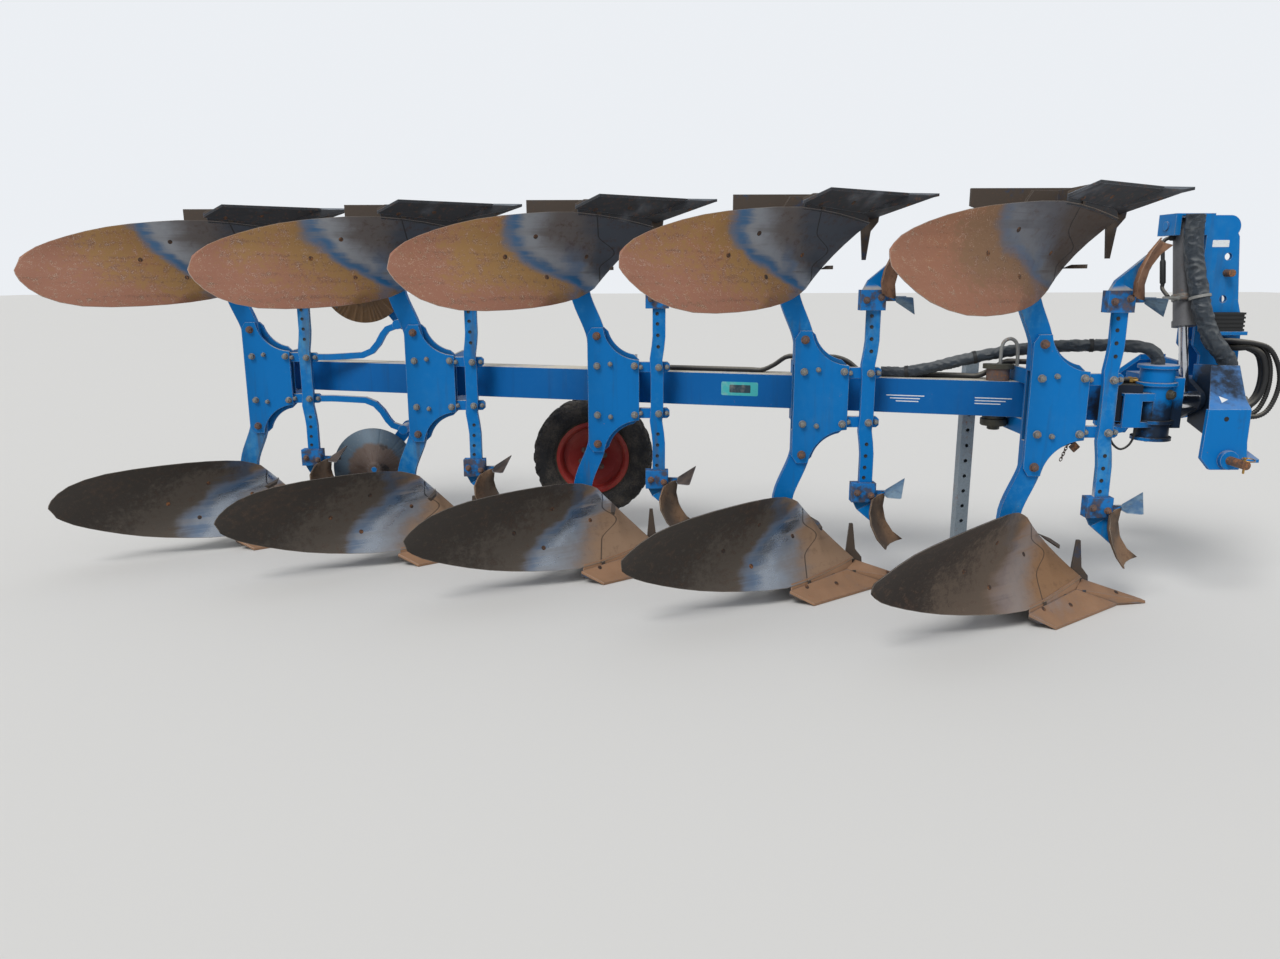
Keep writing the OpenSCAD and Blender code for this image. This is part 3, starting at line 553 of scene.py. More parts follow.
def sleeve_fabric(name):
    """Coated hose sleeve: fine diagonal threads under a worn shine, dust on its folds."""
    finish = Finish(name)
    along, turn, _ = finish.along_surface()
    slant = turn * 70
    weave = finish.node("ShaderNodeCombineXYZ", None, {0: along * 420 + slant, 1: along * 420 - slant})
    threads = finish.node("ShaderNodeTexChecker", None, {"Vector": weave, "Scale": 1.0}, output=1)
    cloud = finish.noise(16, 5)
    creases = finish.noise(1, 4, 0.6, place=finish.stretched(14, 14, 60), distortion=1.0)
    dust = (finish.upward() * 0.5 + cloud).between(0.5, 0.95) * 0.4
    base = finish.mix(threads * 0.3, colours().sleeve, rgb(40, 44, 50))
    base = finish.mix(creases.between(0.5, 0.68) * 0.6, base, rgb(30, 33, 38))
    base = finish.mix(dust, base, rgb(136, 138, 136))
    roughness = 0.26 + cloud * 0.2 + dust * 0.45
    return finish.done(base, roughness, 0.0, threads * 0.15 + creases * 1.4 + cloud * 0.4, 0.0028)


def floor_paint(name):
    """A plain pale floor."""
    finish = Finish(name)
    cloud = finish.noise(0.7, 3)
    base = finish.mix(cloud * 0.08, colours().floor, shade(colours().floor, 0.9))
    return finish.done(base, 0.9, 0.0)


def finishes():
    """How each finish is made: its function, then the values that the function takes after the name."""
    mine = colours()
    return {
        # Tone, wear, dust and fade, then where there is grease the place it spreads from and its reach. Dust
        # also sets the painted light on upward faces, and grease also paints the shade of the deep parts
        # round its place.
        "plate paint": (blue_paint, mine.plate_blue, 0.55, 0.9, 0.15),
        "leg paint": (blue_paint, mine.plate_blue, 0.85, 0.8, 0.95),
        "beam paint": (blue_paint, mine.beam_blue, 0.45, 1.0, 0.10, (at(440, 80, -20), 0.30)),
        "hitch paint": (blue_paint, mine.plate_blue, 0.6, 0.3, 0.25, (at(740, 120, -40), 0.46)),
        "drum paint": (blue_paint, mine.plate_blue, 0.7, 0.6, 0.2, (at(620, 110, -110), 0.30)),
        # Tail, middle, ahead and front, then bend, film, shine and bloom; film is the strength of the painted
        # reflection of the blue legs
        # Both lower boards' tails are darkened partly as painted shade, for the ground below that they face.
        "lower board": (
            board_steel, rgb(56, 50, 45), rgb(86, 78, 70), rgb(122, 116, 114), rgb(150, 122, 98),
            0.27, 0.5, 1.0, 0.06,
        ),
        "front lower board": (
            board_steel, rgb(52, 44, 39), mine.dull_brown, rgb(132, 104, 80), rgb(142, 108, 78),
            0.22, 0.1, 0.3, 0.10,
        ),
        # The upper boards' slate front is polished steel darkened by a painted reflection of the dark ground.
        "upper board": (
            board_steel, rgb(150, 104, 84), rgb(152, 116, 72), rgb(104, 98, 96), rgb(72, 78, 88),
            0.36, 0.85, 0.6, 0.6,
        ),
        "front upper board": (
            board_steel, rgb(150, 104, 82), rgb(134, 102, 76), rgb(92, 92, 98), rgb(84, 74, 68),
            0.30, 0.35, 0.25, 0.5,
        ),
        # Film and bloom
        "lower share": (share_steel, rgb(158, 122, 94), 0.25),
        "upper share": (share_steel, rgb(60, 62, 66), 0.25),
        # Two tones: film and bright, or middle and rim
        "skimmer steel": (skimmer_steel, rgb(92, 78, 66), rgb(132, 104, 80)),
        "upper skimmer steel": (skimmer_steel, rgb(128, 92, 70), rgb(164, 122, 94)),
        "lower disc steel": (disc_steel, rgb(98, 84, 76), rgb(82, 98, 110)),
        "upper disc steel": (disc_steel, rgb(112, 88, 66), rgb(122, 94, 66)),
        "wing steel": (bare_wing, rgb(70, 104, 138), rgb(116, 140, 158)),
        "brown wing steel": (bare_wing, rgb(58, 50, 46), rgb(92, 80, 72)),
        # Tone, rustiness, roughness and how metallic, then the relief where it differs
        "bolt steel": (worn_metal, mine.galvanised, 0.14, 0.40, 0.45),
        "rusty bolt": (worn_metal, rgb(104, 90, 86), 0.22, 0.6, 0.3),
        "stand zinc": (worn_metal, rgb(146, 158, 166), 0.12, 0.5, 0.3, 0.0012),
        "bent rod": (worn_metal, rgb(146, 146, 142), 0.1, 0.5, 0.3),
        "greased iron": (worn_metal, rgb(76, 74, 64), 0.1, 0.42, 0.3),
        "plough bolt": (worn_metal, rgb(66, 58, 54), 0.25, 0.5, 0.5),
        "pin steel": (worn_metal, rgb(128, 112, 98), 0.36, 0.4, 0.75),
        "brass": (worn_metal, mine.brass, 0.1, 0.3, 0.95, 0.0003),
        "barrel paint": (worn_metal, mine.barrel_grey, 0.06, 0.45, 0.1),
        "black plastic": (worn_metal, rgb(36, 37, 38), 0.05, 0.5, 0.0, 0.0004),
        # Tone
        "white label": (label, mine.label_white),
        "turquoise label": (label, mine.label_turquoise),
        "dark label": (label, rgb(34, 62, 74)),
        # The rest take nothing but the name
        "frog iron": (frog_iron,),
        "clamp paint": (clamp_paint,),
        "rod chrome": (rod_chrome,),
        "tyre rubber": (tyre_rubber,),
        "rim paint": (rim_paint,),
        "hose rubber": (hose_rubber,),
        "sleeve fabric": (sleeve_fabric,),
        "studio floor": (floor_paint,),
    }


made_finishes = {}


def finish_of(name):
    """The material of a finish's name, made once."""
    if name not in made_finishes:
        make, *values = finishes()[name]
        made_finishes[name] = make(name, *values)
    return made_finishes[name]


# Modelling


def deselect():
    if bpy.context.mode != "OBJECT":
        bpy.ops.object.mode_set(mode="OBJECT")
    bpy.ops.object.select_all(action="DESELECT")


def choose(*pieces):
    """Selects just these pieces; the first is the active one."""
    deselect()
    for piece in pieces:
        piece.select_set(True)
    bpy.context.view_layer.objects.active = pieces[0]
    return pieces[0]


def open_faces(piece, direction):
    """Edit mode with the faces selected that look along a direction."""
    choose(piece)
    bpy.ops.object.mode_set(mode="EDIT")
    bpy.ops.mesh.select_mode(type="FACE")
    bpy.ops.mesh.select_all(action="DESELECT")
    mesh = bmesh.from_edit_mesh(piece.data)
    for face in mesh.faces:
        face.select_set(face.normal.dot(direction) > 0.9)
    bmesh.update_edit_mesh(piece.data)


def open_all(piece):
    """Edit mode with all of a piece selected."""
    choose(piece)
    bpy.ops.object.mode_set(mode="EDIT")
    bpy.ops.mesh.select_all(action="SELECT")


def close():
    """Back to object mode."""
    bpy.ops.object.mode_set(mode="OBJECT")


def turned(profile, sides=24):
    """A lathe piece standing on its axis: a disc drawn up through the profile's radii and heights."""
    deselect()
    (radius, height), *rest = profile
    bpy.ops.mesh.primitive_circle_add(
        vertices=sides, radius=radius, fill_type="NGON", location=(0, 0, height)
    )
    piece = bpy.context.object
    bpy.ops.object.mode_set(mode="EDIT")
    for next_radius, next_height in rest:
        bpy.ops.mesh.extrude_region_move(TRANSFORM_OT_translate={"value": (0, 0, next_height - height)})
        grow = next_radius / radius
        bpy.ops.transform.resize(value=(grow, grow, 1), center_override=(0, 0, next_height))
        radius, height = next_radius, next_height
    bpy.ops.mesh.select_all(action="SELECT")
    bpy.ops.mesh.normals_make_consistent(inside=False)
    close()
    choose(piece)
    bpy.ops.object.transform_apply(location=True, rotation=True, scale=True)
    return piece


def joined(*pieces):
    """Several pieces as one."""
    choose(*pieces)
    if len(pieces) > 1:
        bpy.ops.object.join()
    return bpy.context.object


def moved(piece, matrix):
    """The piece with a move worked into its mesh."""
    piece.data.transform(matrix)
    return piece


def facing(point, direction, roll=0.0):
    """The move that stands a piece's axis on a point, along a direction."""
    turn = Vector(direction).to_track_quat("Z", "Y").to_matrix().to_4x4()
    return Matrix.Translation(point) @ turn @ Matrix.Rotation(roll, 4, "Z")


def copies(pattern, moves):
    """One piece of equal copies of a pattern, each by its own move. The pattern is used up."""
    made = []
    for move in moves:
        copy = bpy.data.objects.new("copy", pattern.data.copy())
        bpy.context.collection.objects.link(copy)
        made.append(moved(copy, move))
    bpy.data.objects.remove(pattern)
    return joined(*made)


def dress(piece, name, finish, body, sharp=35):
    """Names a piece, gives it its finish, smooths it and sets it on the body that it rides with."""
    choose(piece)
    bpy.ops.object.transform_apply(location=True, rotation=True, scale=True)
    piece.name = name
    piece.data.name = name
    piece.data.materials.clear()
    piece.data.materials.append(finish_of(finish))
    bpy.ops.object.shade_smooth_by_angle(angle=math.radians(sharp))
    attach(piece, body)
    return piece


def hexagon(across, height, washer):
    """A hexagon head or nut with a chamfered top and its bolt's end, on a plain round washer."""
    radius = across / math.sqrt(3)
    head = turned([(radius, 0.002), (radius, 0.002 + height * 0.82), (radius * 0.86, 0.002 + height)], 6)
    disc = turned([(washer, 0), (washer, 0.0022), (washer * 0.94, 0.003)], 20)
    end = turned([(radius * 0.5, height), (radius * 0.5, height + 0.004), (radius * 0.4, height + 0.006)], 14)
    return joined(head, disc, end)


def band(inner, outer, half_width, sides):
    """A strap for something round, standing on its axis."""
    profile = [(inner, -half_width), (outer, -half_width), (outer, half_width), (inner, half_width)]
    return turned(profile, sides)


def hose_union(nut, ferrule, neck):
    """A union at a hose's end. Its nut, ferrule and neck are each a radius and the height of the top."""
    flats = turned([(nut[0], 0), nut], 6)
    return joined(flats, turned([(ferrule[0], nut[1] - 0.001), ferrule, neck], 16))


def flowing(points, pace):
    """A smooth path through the points, with places at an even pace along it."""
    ends = [points[0] * 2 - points[1], *points, points[-1] * 2 - points[-2]]
    dense = []
    for before, start, end, after in zip(ends, ends[1:], ends[2:], ends[3:]):
        for i in range(12):
            t = i / 12
            dense.append(
                0.5
                * (
                    2 * start
                    + (end - before) * t
                    + (2 * before - 5 * start + 4 * end - after) * t**2
                    + (3 * start - before - 3 * end + after) * t**3
                )
            )
    dense.append(points[-1])
    total = sum((b - a).length for a, b in zip(dense, dense[1:]))
    count = max(2, round(total / pace))
    places, walked, target = [dense[0]], 0.0, total / count
    for a, b in zip(dense, dense[1:]):
        stretch = (b - a).length
        while stretch and walked + stretch >= target - 1e-9 and len(places) < count:
            places.append(a.lerp(b, (target - walked) / stretch))
            target += total / count
        walked += stretch
    places.append(dense[-1])
    return places


def drawn_tube(points, radius, around=14, pace=0.012, swell=None):
    """A tube along a smooth path, its ends closed. Swell changes its radius by the way along and round."""
    path = flowing(points, pace)
    mesh = bmesh.new()
    surface = mesh.loops.layers.uv.new("surface")
    heading = (path[1] - path[0]).normalized()
    side = heading.orthogonal().normalized()
    rings, walked, far_along = [], 0.0, []
    for i, centre in enumerate(path):
        ahead = (path[min(i + 1, len(path) - 1)] - path[max(i - 1, 0)]).normalized()
        side = (side - ahead * side.dot(ahead)).normalized()
        other = ahead.cross(side)
        walked += (centre - path[i - 1]).length if i else 0
        ring = []
        for j in range(around):
            turn = 2 * math.pi * j / around
            reach = radius + (swell(walked, turn) if swell else 0)
            ring.append(mesh.verts.new(centre + (side * math.cos(turn) + other * math.sin(turn)) * reach))
        rings.append(ring)
        far_along.append(walked)
    for i, (ring, following) in enumerate(zip(rings, rings[1:])):
        for j in range(around):
            k = (j + 1) % around
            face = mesh.faces.new((ring[j], ring[k], following[k], following[j]))
            corners = ((i, j), (i, j + 1), (i + 1, j + 1), (i + 1, j))
            for loop, (m, n) in zip(face.loops, corners):
                loop[surface].uv = (far_along[m], n / around)
    mesh.faces.new(reversed(rings[0]))
    mesh.faces.new(rings[-1])
    data = bpy.data.meshes.new("tube")
    mesh.to_mesh(data)
    mesh.free()
    piece = bpy.data.objects.new("tube", data)
    bpy.context.collection.objects.link(piece)
    return piece


def ring_of(radius, thickness):
    """A round ring of wire, lying flat."""
    deselect()
    bpy.ops.mesh.primitive_torus_add(
        major_radius=radius, minor_radius=thickness, major_segments=24, minor_segments=8, location=(0, 0, 0)
    )
    return bpy.context.object


def creased(depth, seed):
    """A swell for a loose sleeve: sharp creases that run slantwise round it, sunk in from its radius."""

    def swell(way, turn):
        ring = Vector((math.cos(turn), math.sin(turn), 0)) * 1.3
        ridge = noise.noise(ring + Vector((way * 3, seed, way * 26)))
        small = noise.noise(ring * 2 + Vector((seed, way * 40, way * 20)))
        return -depth * (0.9 * min(1, abs(ridge) * 2.6) + 0.35 * abs(small))

    return swell


def bead(start, end, wave=0.0045):
    """A weld bead with its ripples, half sunk in the corner that it fills."""
    size = sizes().weld

    def ripple(way, turn):
        return 0.16 * size * math.sin(way / wave * math.pi)

    return drawn_tube([start, start.lerp(end, 0.5), end], size, 8, wave / 2.4, ripple)


def surface_of(piece):
    """A piece's faces, ready to be met by straight lines."""
    mesh = bmesh.new()
    mesh.from_mesh(piece.data)
    surface = BVHTree.FromBMesh(mesh)
    mesh.free()
    return surface


def landing(surface, start, direction):
    """Where a line from a point meets a surface, and which way the surface faces there."""
    place, normal, _, _ = surface.ray_cast(start, direction)
    if place is None:
        raise RuntimeError(f"nothing lies that way from {start}")
    return place, normal


def whole_copy(node):
    """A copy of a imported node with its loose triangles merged, for a surface that has to flow."""
    piece = bpy.data.objects.new(node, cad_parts[node].data.copy())
    bpy.context.collection.objects.link(piece)
    open_all(piece)
    bpy.ops.mesh.remove_doubles(threshold=0.00002)
    close()
    return piece


def map_surface(piece, place):
    """Writes a piece's own map, which a function of a point gives."""
    layer = piece.data.uv_layers.new(name="surface")
    for loop in piece.data.loops:
        layer.data[loop.index].uv = place(piece.data.vertices[loop.vertex_index].co)


def rounded_plate(width, height, thick, corner):
    """A thin plate with rounded corners, lying flat on zero."""
    deselect()
    bpy.ops.mesh.primitive_plane_add(size=1)
    piece = bpy.context.object
    bpy.ops.object.mode_set(mode="EDIT")
    bpy.ops.transform.resize(value=(width, height, 1), center_override=(0, 0, 0))
    bpy.ops.mesh.select_mode(type="VERT")
    bpy.ops.mesh.select_all(action="SELECT")
    bpy.ops.mesh.bevel(offset=corner, segments=4, affect="VERTICES")
    bpy.ops.mesh.select_all(action="SELECT")
    bpy.ops.mesh.extrude_region_move(TRANSFORM_OT_translate={"value": (0, 0, thick)})
    bpy.ops.mesh.select_all(action="SELECT")
    bpy.ops.mesh.normals_make_consistent(inside=False)
    close()
    return piece


class PLOUGH_OT_stage(bpy.types.Operator):
    """Floor, soft studio light and the camera."""

    bl_idname = "plough.stage"
    bl_label = "Stage"

    def execute(self, context):
        deselect()
        bpy.ops.mesh.primitive_grid_add(x_subdivisions=4, y_subdivisions=4, size=90, location=(0, 20, -0.001))
        floor = context.object
        floor.name = "floor"
        bpy.ops.object.transform_apply(location=True)
        floor.data.materials.append(finish_of("studio floor"))
        self.light_world(context.scene)
        tilt = [math.radians(angle) for angle in (38, -16, -14)]
        bpy.ops.object.light_add(type="SUN", rotation=tilt)
        sun = context.object.data
        sun.energy = 1.9
        sun.angle = math.radians(24)
        self.aim_camera(context.scene)
        return {"FINISHED"}

    def light_world(self, scene):
        """An even pale sky, brighter to the camera than as a light."""
        world = bpy.data.worlds.new("studio")
        scene.world = world
        world.use_nodes = True
        nodes = Nodes(world.node_tree)
        sky = world.node_tree.nodes["Background"]
        seen = nodes.node("ShaderNodeLightPath", output="Is Camera Ray")
        nodes.put(sky.inputs["Color"], (0.93, 0.96, 1.0))
        nodes.put(sky.inputs["Strength"], seen * 0.30 + 0.60)
        scene.view_settings.view_transform = "Standard"

    def aim_camera(self, scene):
        """The photograph's viewpoint, on the near side at chest height."""
        data = bpy.data.cameras.new("camera")
        data.lens = 26.283
        data.sensor_width = 36
        data.clip_end = 200
        camera = bpy.data.objects.new("camera", data)
        scene.collection.objects.link(camera)
        turn = Matrix.Rotation(math.radians(0.107), 3, "Z")
        tip = Matrix.Rotation(math.radians(90 - 12.467), 3, "X")
        roll = Matrix.Rotation(math.radians(-0.134), 3, "Z")
        camera.rotation_euler = (turn @ tip @ roll).to_euler()
        camera.location = (0.0663, -4.4110, 1.4608)
        scene.camera = camera


class PLOUGH_OT_paint(bpy.types.Operator):
    """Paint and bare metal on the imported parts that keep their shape."""

    bl_idname = "plough.paint"
    bl_label = "Paint the Frame"

    def execute(self, context):
        coats = {
            "main_beam": "beam paint",
            "link_pins": "pin steel",
            "cylinder_barrel": "barrel paint",
            "cylinder_rod": "rod chrome",
            "parking_stand": "stand zinc",
            "hose_block": "black plastic",
            "coulter_arms": "plate paint",
            "wheel_rim": "rim paint",
            "wheel_tyre": "tyre rubber",
            "turnover_yoke": "hitch paint",
            "swivel_head": "drum paint",
        }
        families = {"leg_bars": "leg paint", "leg_bracket": "plate paint", "frogs": "frog iron"}
        for name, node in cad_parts.items():
            family = name.rsplit("_", 1)[0]
            finish = coats.get(name) or families.get(family) or "hitch paint"
            node.data.materials.clear()
            node.data.materials.append(finish_of(finish))
        return {"FINISHED"}


class PLOUGH_OT_boards(bpy.types.Operator):
    """Moldboards, shares, skimmer boards and discs as smooth worn steel."""

    bl_idname = "plough.boards"
    bl_label = "Boards and Shares"

    def execute(self, context):
        for body in BODIES:
            board = self.boards(body)
            shares = self.steel("shares", body, ("lower share", "upper share"), "share_steel")
            self.bolts(shares, f"share_bolts_{body}", body, ((12, 838), (165, 850), (447, 853)))
            self.seats(board, shares, body)
            self.steel("skimmer_boards", body, ("skimmer steel", "upper skimmer steel"), "board_steel")
            self.skimmer(body)
        for side in ("lower", "upper"):
            self.disc(side)
        return {"FINISHED"}

    def boards(self, body):
        """Both boards of a body, mapped back from the shin and up from the beam."""
        node = f"moldboards_{body}"
        piece = whole_copy(node)
        shin = at(0, 0, 0, body)

        def behind_shin(point):
            return shin.x - point.x, abs(point.z - shin.z)

        map_surface(piece, behind_shin)
        front = "front " if body == 1 else ""
        dress(piece, f"plough_boards_{body}", f"{front}lower board", "frame", 40)
        self.upper_finish(piece, f"{front}upper board")
        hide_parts(node)
        places = ((-383, 631), (-252, 719), (-212, 543), (-39, 635))
        self.bolts(piece, f"board_bolts_{body}", body, places)
        return piece

    def upper_finish(self, piece, finish):
        """A second finish on what stands above the beam."""
        piece.data.materials.append(finish_of(finish))
        for face in piece.data.polygons:
            face.material_index = int(face.center.z > BEAM_HEIGHT)

    def steel(self, family, body, pair, slot):
        """A body's worn steel pieces, with the pair's first finish below the beam and its other above."""
        node = f"{family}_{body}"
        piece = whole_copy(node)
        dress(piece, f"worn_{family}_{body}", pair[0], "frame", 40)
        self.upper_finish(piece, pair[1])
        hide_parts(node)
        return piece

    def bolts(self, piece, name, body, places):
        """Flush plough bolts, set where a line from the near side meets the surface."""
        size = sizes().board_bolt
        head = turned([(size, 0), (size, 0.0008), (size * 0.86, 0.0016), (size * 0.3, 0.0018)], 18)
        surface, moves = surface_of(piece), []
        for side in (1, -1):
            for x, z in places:
                place, normal = landing(surface, at(x, -900, z * side, body), FAR)
                moves.append(facing(place - normal * 0.0006, normal))
        dress(copies(head, moves), name, "plough bolt", "frame")

    def seats(self, board, shares, body):
        """The strips that close the joint between a board's foot and its share, set back behind both."""
        board, shares = surface_of(board), surface_of(shares)
        middle, half = 100, 166
        strips = []
        for side in (-1, 1):
            deselect()
            bpy.ops.mesh.primitive_grid_add(x_subdivisions=12, y_subdivisions=1, size=2)
            strip = bpy.context.object
            behind_board = Vector((0, 0.010, -0.010 * side))
            behind_share = Vector((0, 0.006, 0.009 * side))
            for vertex in strip.data.vertices:
                x = middle + vertex.co.x * half
                if vertex.co.y > 0:
                    vertex.co = self.rim(board, x, range(860, 740, -1), side, body) + behind_board
                else:
                    vertex.co = self.rim(shares, x, range(770, 900), side, body) + behind_share
            self.thicken(strip, 0.005)
            strips.append(strip)
        piece = dress(joined(*strips), f"share_seats_{body}", "lower share", "frame", 40)
        self.upper_finish(piece, "upper share")

    def rim(self, surface, x, heights, side, body):
        """The first place on a surface that a line from the near side meets, height by height."""
        for height in heights:
            place = surface.ray_cast(at(x, -900, height * side, body), FAR)[0]
            if place:
                return place
        raise RuntimeError(f"no rim at {x} on body {body}")

    def thicken(self, piece, thick):
        """Gives a sheet its thickness towards its back."""
        open_all(piece)
        bpy.ops.mesh.normals_make_consistent(inside=False)
        close()
        solid = piece.modifiers.new("thickness", "SOLIDIFY")
        solid.thickness = thick
        solid.offset = 0
        bpy.ops.object.modifier_apply(modifier=solid.name)

    def skimmer(self, body):
        """Both skimmers: painted shank, rusty clamp and a worn wing."""
        node = f"skimmers_{body}"
        piece = whole_copy(node)
        dress(piece, f"skimmer_shanks_{body}", "leg paint", "frame", 30)
        piece.data.materials.append(finish_of("clamp paint"))
        piece.data.materials.append(finish_of("wing steel" if body < 3 else "brown wing steel"))
        start = at(0, 0, 0, body)
        for face in piece.data.polygons:
            away = (face.center - start) * 1000
            wing = away.x > 390 and away.y < -15
            clamp = away.x < 372 and 394 < abs(away.z) < 486
            face.material_index = 2 if wing else int(clamp)
        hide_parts(node)

    def disc(self, side):
        """A coulter disc, mapped outward from its hub and round it."""
        node = f"coulter_disc_{side}"
        piece = whole_copy(node)
        low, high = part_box(node)
        hub = (low + high) / 2

        def round_hub(point):
            ahead, up = point.x - hub.x, point.z - hub.z
            return math.hypot(ahead, up), math.atan2(up, ahead) / (2 * math.pi) + 0.5

        map_surface(piece, round_hub)
        dress(piece, f"worn_disc_{side}", f"{side} disc steel", f"disc_{side}", 30)
        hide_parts(node)


class PLOUGH_OT_bolts(bpy.types.Operator):
    """Bolts of the leg brackets, stalks, clamps and the headstock."""

    bl_idname = "plough.bolts"
    bl_label = "Bolts"

    def execute(self, context):
        for body in BODIES:
            self.bracket(body)
            self.shear(body)
            self.clamps(body)
        self.hitch()
        return {"FINISHED"}

    def rows(self, pattern, places, body):
        """Copies of a pattern on near faces below the beam and above it. A place is how far ahead,
        its face, how far from the beam's middle and a roll."""
        moves = []
        for side in (1, -1):
            for x, face, z, roll in places:
                moves.append(facing(at(x, face, z * side, body), NEAR, roll))
        return copies(pattern, moves)

    def bracket(self, body):
        """Bolts through the cheeks, the flanges and the stalk."""
        size = sizes().bolt
        big = [(0, CHEEK_FACE, 120, 0.2), (182, CHEEK_FACE, 120, 0.5), (300, STALK_FACE, 113, 0.3)]
        small = [(64, CHEEK_FACE, 129, 0.7), (212, FLANGE_FACE, 113, 0.1), (340, FLANGE_FACE, 113, 0.9)]
        heads = self.rows(hexagon(size, 0.017, size * 0.64), big, body)
        nuts = self.rows(hexagon(size * 0.72, 0.013, size * 0.44), small, body)
        dress(joined(heads, nuts), f"bracket_bolts_{body}", "bolt steel", "frame")

    def shear(self, body):
        """The two rusty shear bolts with their nuts behind the bracket."""
        size = sizes().shear_bolt
        moves = []
        for height in (264, -264):
            moves.append(facing(at(0, CHEEK_FACE, height, body), NEAR))
            moves.append(facing(at(0, BACK_CHEEK_FACE, height, body), FAR))
        pieces = copies(hexagon(size, 0.018, size * 0.66), moves)
        dress(pieces, f"shear_bolts_{body}", "rusty bolt", "frame")

    def clamps(self, body):
        """Bolts on each skimmer clamp, and dark discs on the stalk's spare holes that paint the shade inside
        them.
        """
        size = sizes().small_bolt
        corners = [(x, CLAMP_FACE, z, x) for x, z in ((262, 440), (326, 452))]
        bolts = self.rows(hexagon(size, 0.014, size * 0.72), corners, body)
        dress(bolts, f"clamp_bolts_{body}", "rusty bolt", "frame")
        # Dark discs on the stalk's spare holes: painted shade where the holes are.
        plug = turned([(0.0085, 0), (0.0085, 0.0012), (0.007, 0.0016), (0.0055, 0.0006)], 16)
        holes = [(297 - (z - 213) * 0.035, STALK_FACE, z, 0) for z in (213, 268, 322, 370)]
        hole_shades = self.rows(plug, holes, body)
        dress(hole_shades, f"stalk_hole_shades_{body}", "black plastic", "frame")

    def hitch(self):
        """Bolts in the front plates of the headstock."""
        size = sizes().small_bolt
        moves = []
        for side in (1, -1):
            for out in (125, 220):
                for z in (-80, 10):
                    moves.append(facing(at(968, SHAFT_LINE + out * side, z), (1, 0, 0)))
        pieces = copies(hexagon(size, 0.014, size * 0.75), moves)
        dress(pieces, "headstock_bolts", "bolt steel", "headstock")


class PLOUGH_OT_wheel(bpy.types.Operator):
    """Tread lugs, wheel nuts and the hub cap of the depth wheel."""

    bl_idname = "plough.wheel"
    bl_label = "Depth Wheel"

    def execute(self, context):
        low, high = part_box("wheel_tyre")
        hub = (low + high) / 2
        self.lugs(hub, (high.z - low.z) / 2, (high.y - low.y) / 2)
        self.nuts(hub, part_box("wheel_rim")[0].y)
        return {"FINISHED"}

    def lugs(self, hub, radius, half_width):
        """Two rows of slanted lugs that run out over the tyre's shoulders."""
        height = sizes().lug_height
        count = sizes().lugs
        deselect()
        bpy.ops.mesh.primitive_cube_add(size=1)
        lug = bpy.context.object
        bpy.ops.object.mode_set(mode="EDIT")
        bpy.ops.transform.resize(value=(0.036, 0.100, 0.022), center_override=(0, 0, 0))
        bpy.ops.mesh.subdivide(number_cuts=3)
        close()
        open_faces(lug, UP)
        bpy.ops.transform.resize(value=(0.72, 0.90, 1), center_override=(0, 0, 0.011))
        close()
        moves = []
        for side in (1, -1):
            for i in range(count):
                way = 2 * math.pi * radius * (i + 0.5 * (side > 0)) / count
                slant = Matrix.Rotation(math.radians(34 * side), 4, "Z")
                moves.append(Matrix.Translation((way, side * half_width * 0.47, height - 0.011)) @ slant)
        tread = copies(lug, moves)
        crown = surface_of(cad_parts["wheel_tyre"])
        for vertex in tread.data.vertices:
            way, across, up = vertex.co
            across = max(-0.93, min(0.93, across / half_width)) * half_width
            top, _ = landing(crown, hub + Vector((0, across, 1)), DOWN)
            reach = top.z - hub.z + up
            vertex.co = hub + Vector((math.cos(way / radius) * reach, across, math.sin(way / radius) * reach))
        if self.inside_out(tread, hub):
            tread.data.flip_normals()
        dress(tread, "tread_lugs", "tyre rubber", "wheel", 25)

    def inside_out(self, tread, hub):
        """Whether the lugs' outermost face looks at the hub."""
        outer = max(tread.data.polygons, key=lambda face: (face.center - hub).length)
        return outer.normal.dot(outer.center - hub) < 0

    def nuts(self, hub, face):
        """Six wheel nuts and a domed cap on the near face."""
        centre = Vector((hub.x, face, hub.z))
        moves = []
        for i in range(6):
            turn = math.radians(60 * i + 15)
            away = Vector((math.cos(turn), 0, math.sin(turn))) * 0.066
            moves.append(facing(centre + away, NEAR))
        nuts = copies(hexagon(0.022, 0.014, 0.017), moves)
        dress(nuts, "wheel_nuts", "rusty bolt", "wheel")
        dome = [(0.044, 0), (0.044, 0.010), (0.041, 0.020), (0.033, 0.027), (0.018, 0.031), (0.004, 0.032)]
        dress(moved(turned(dome, 28), facing(centre, NEAR)), "hub_cap", "rim paint", "wheel")


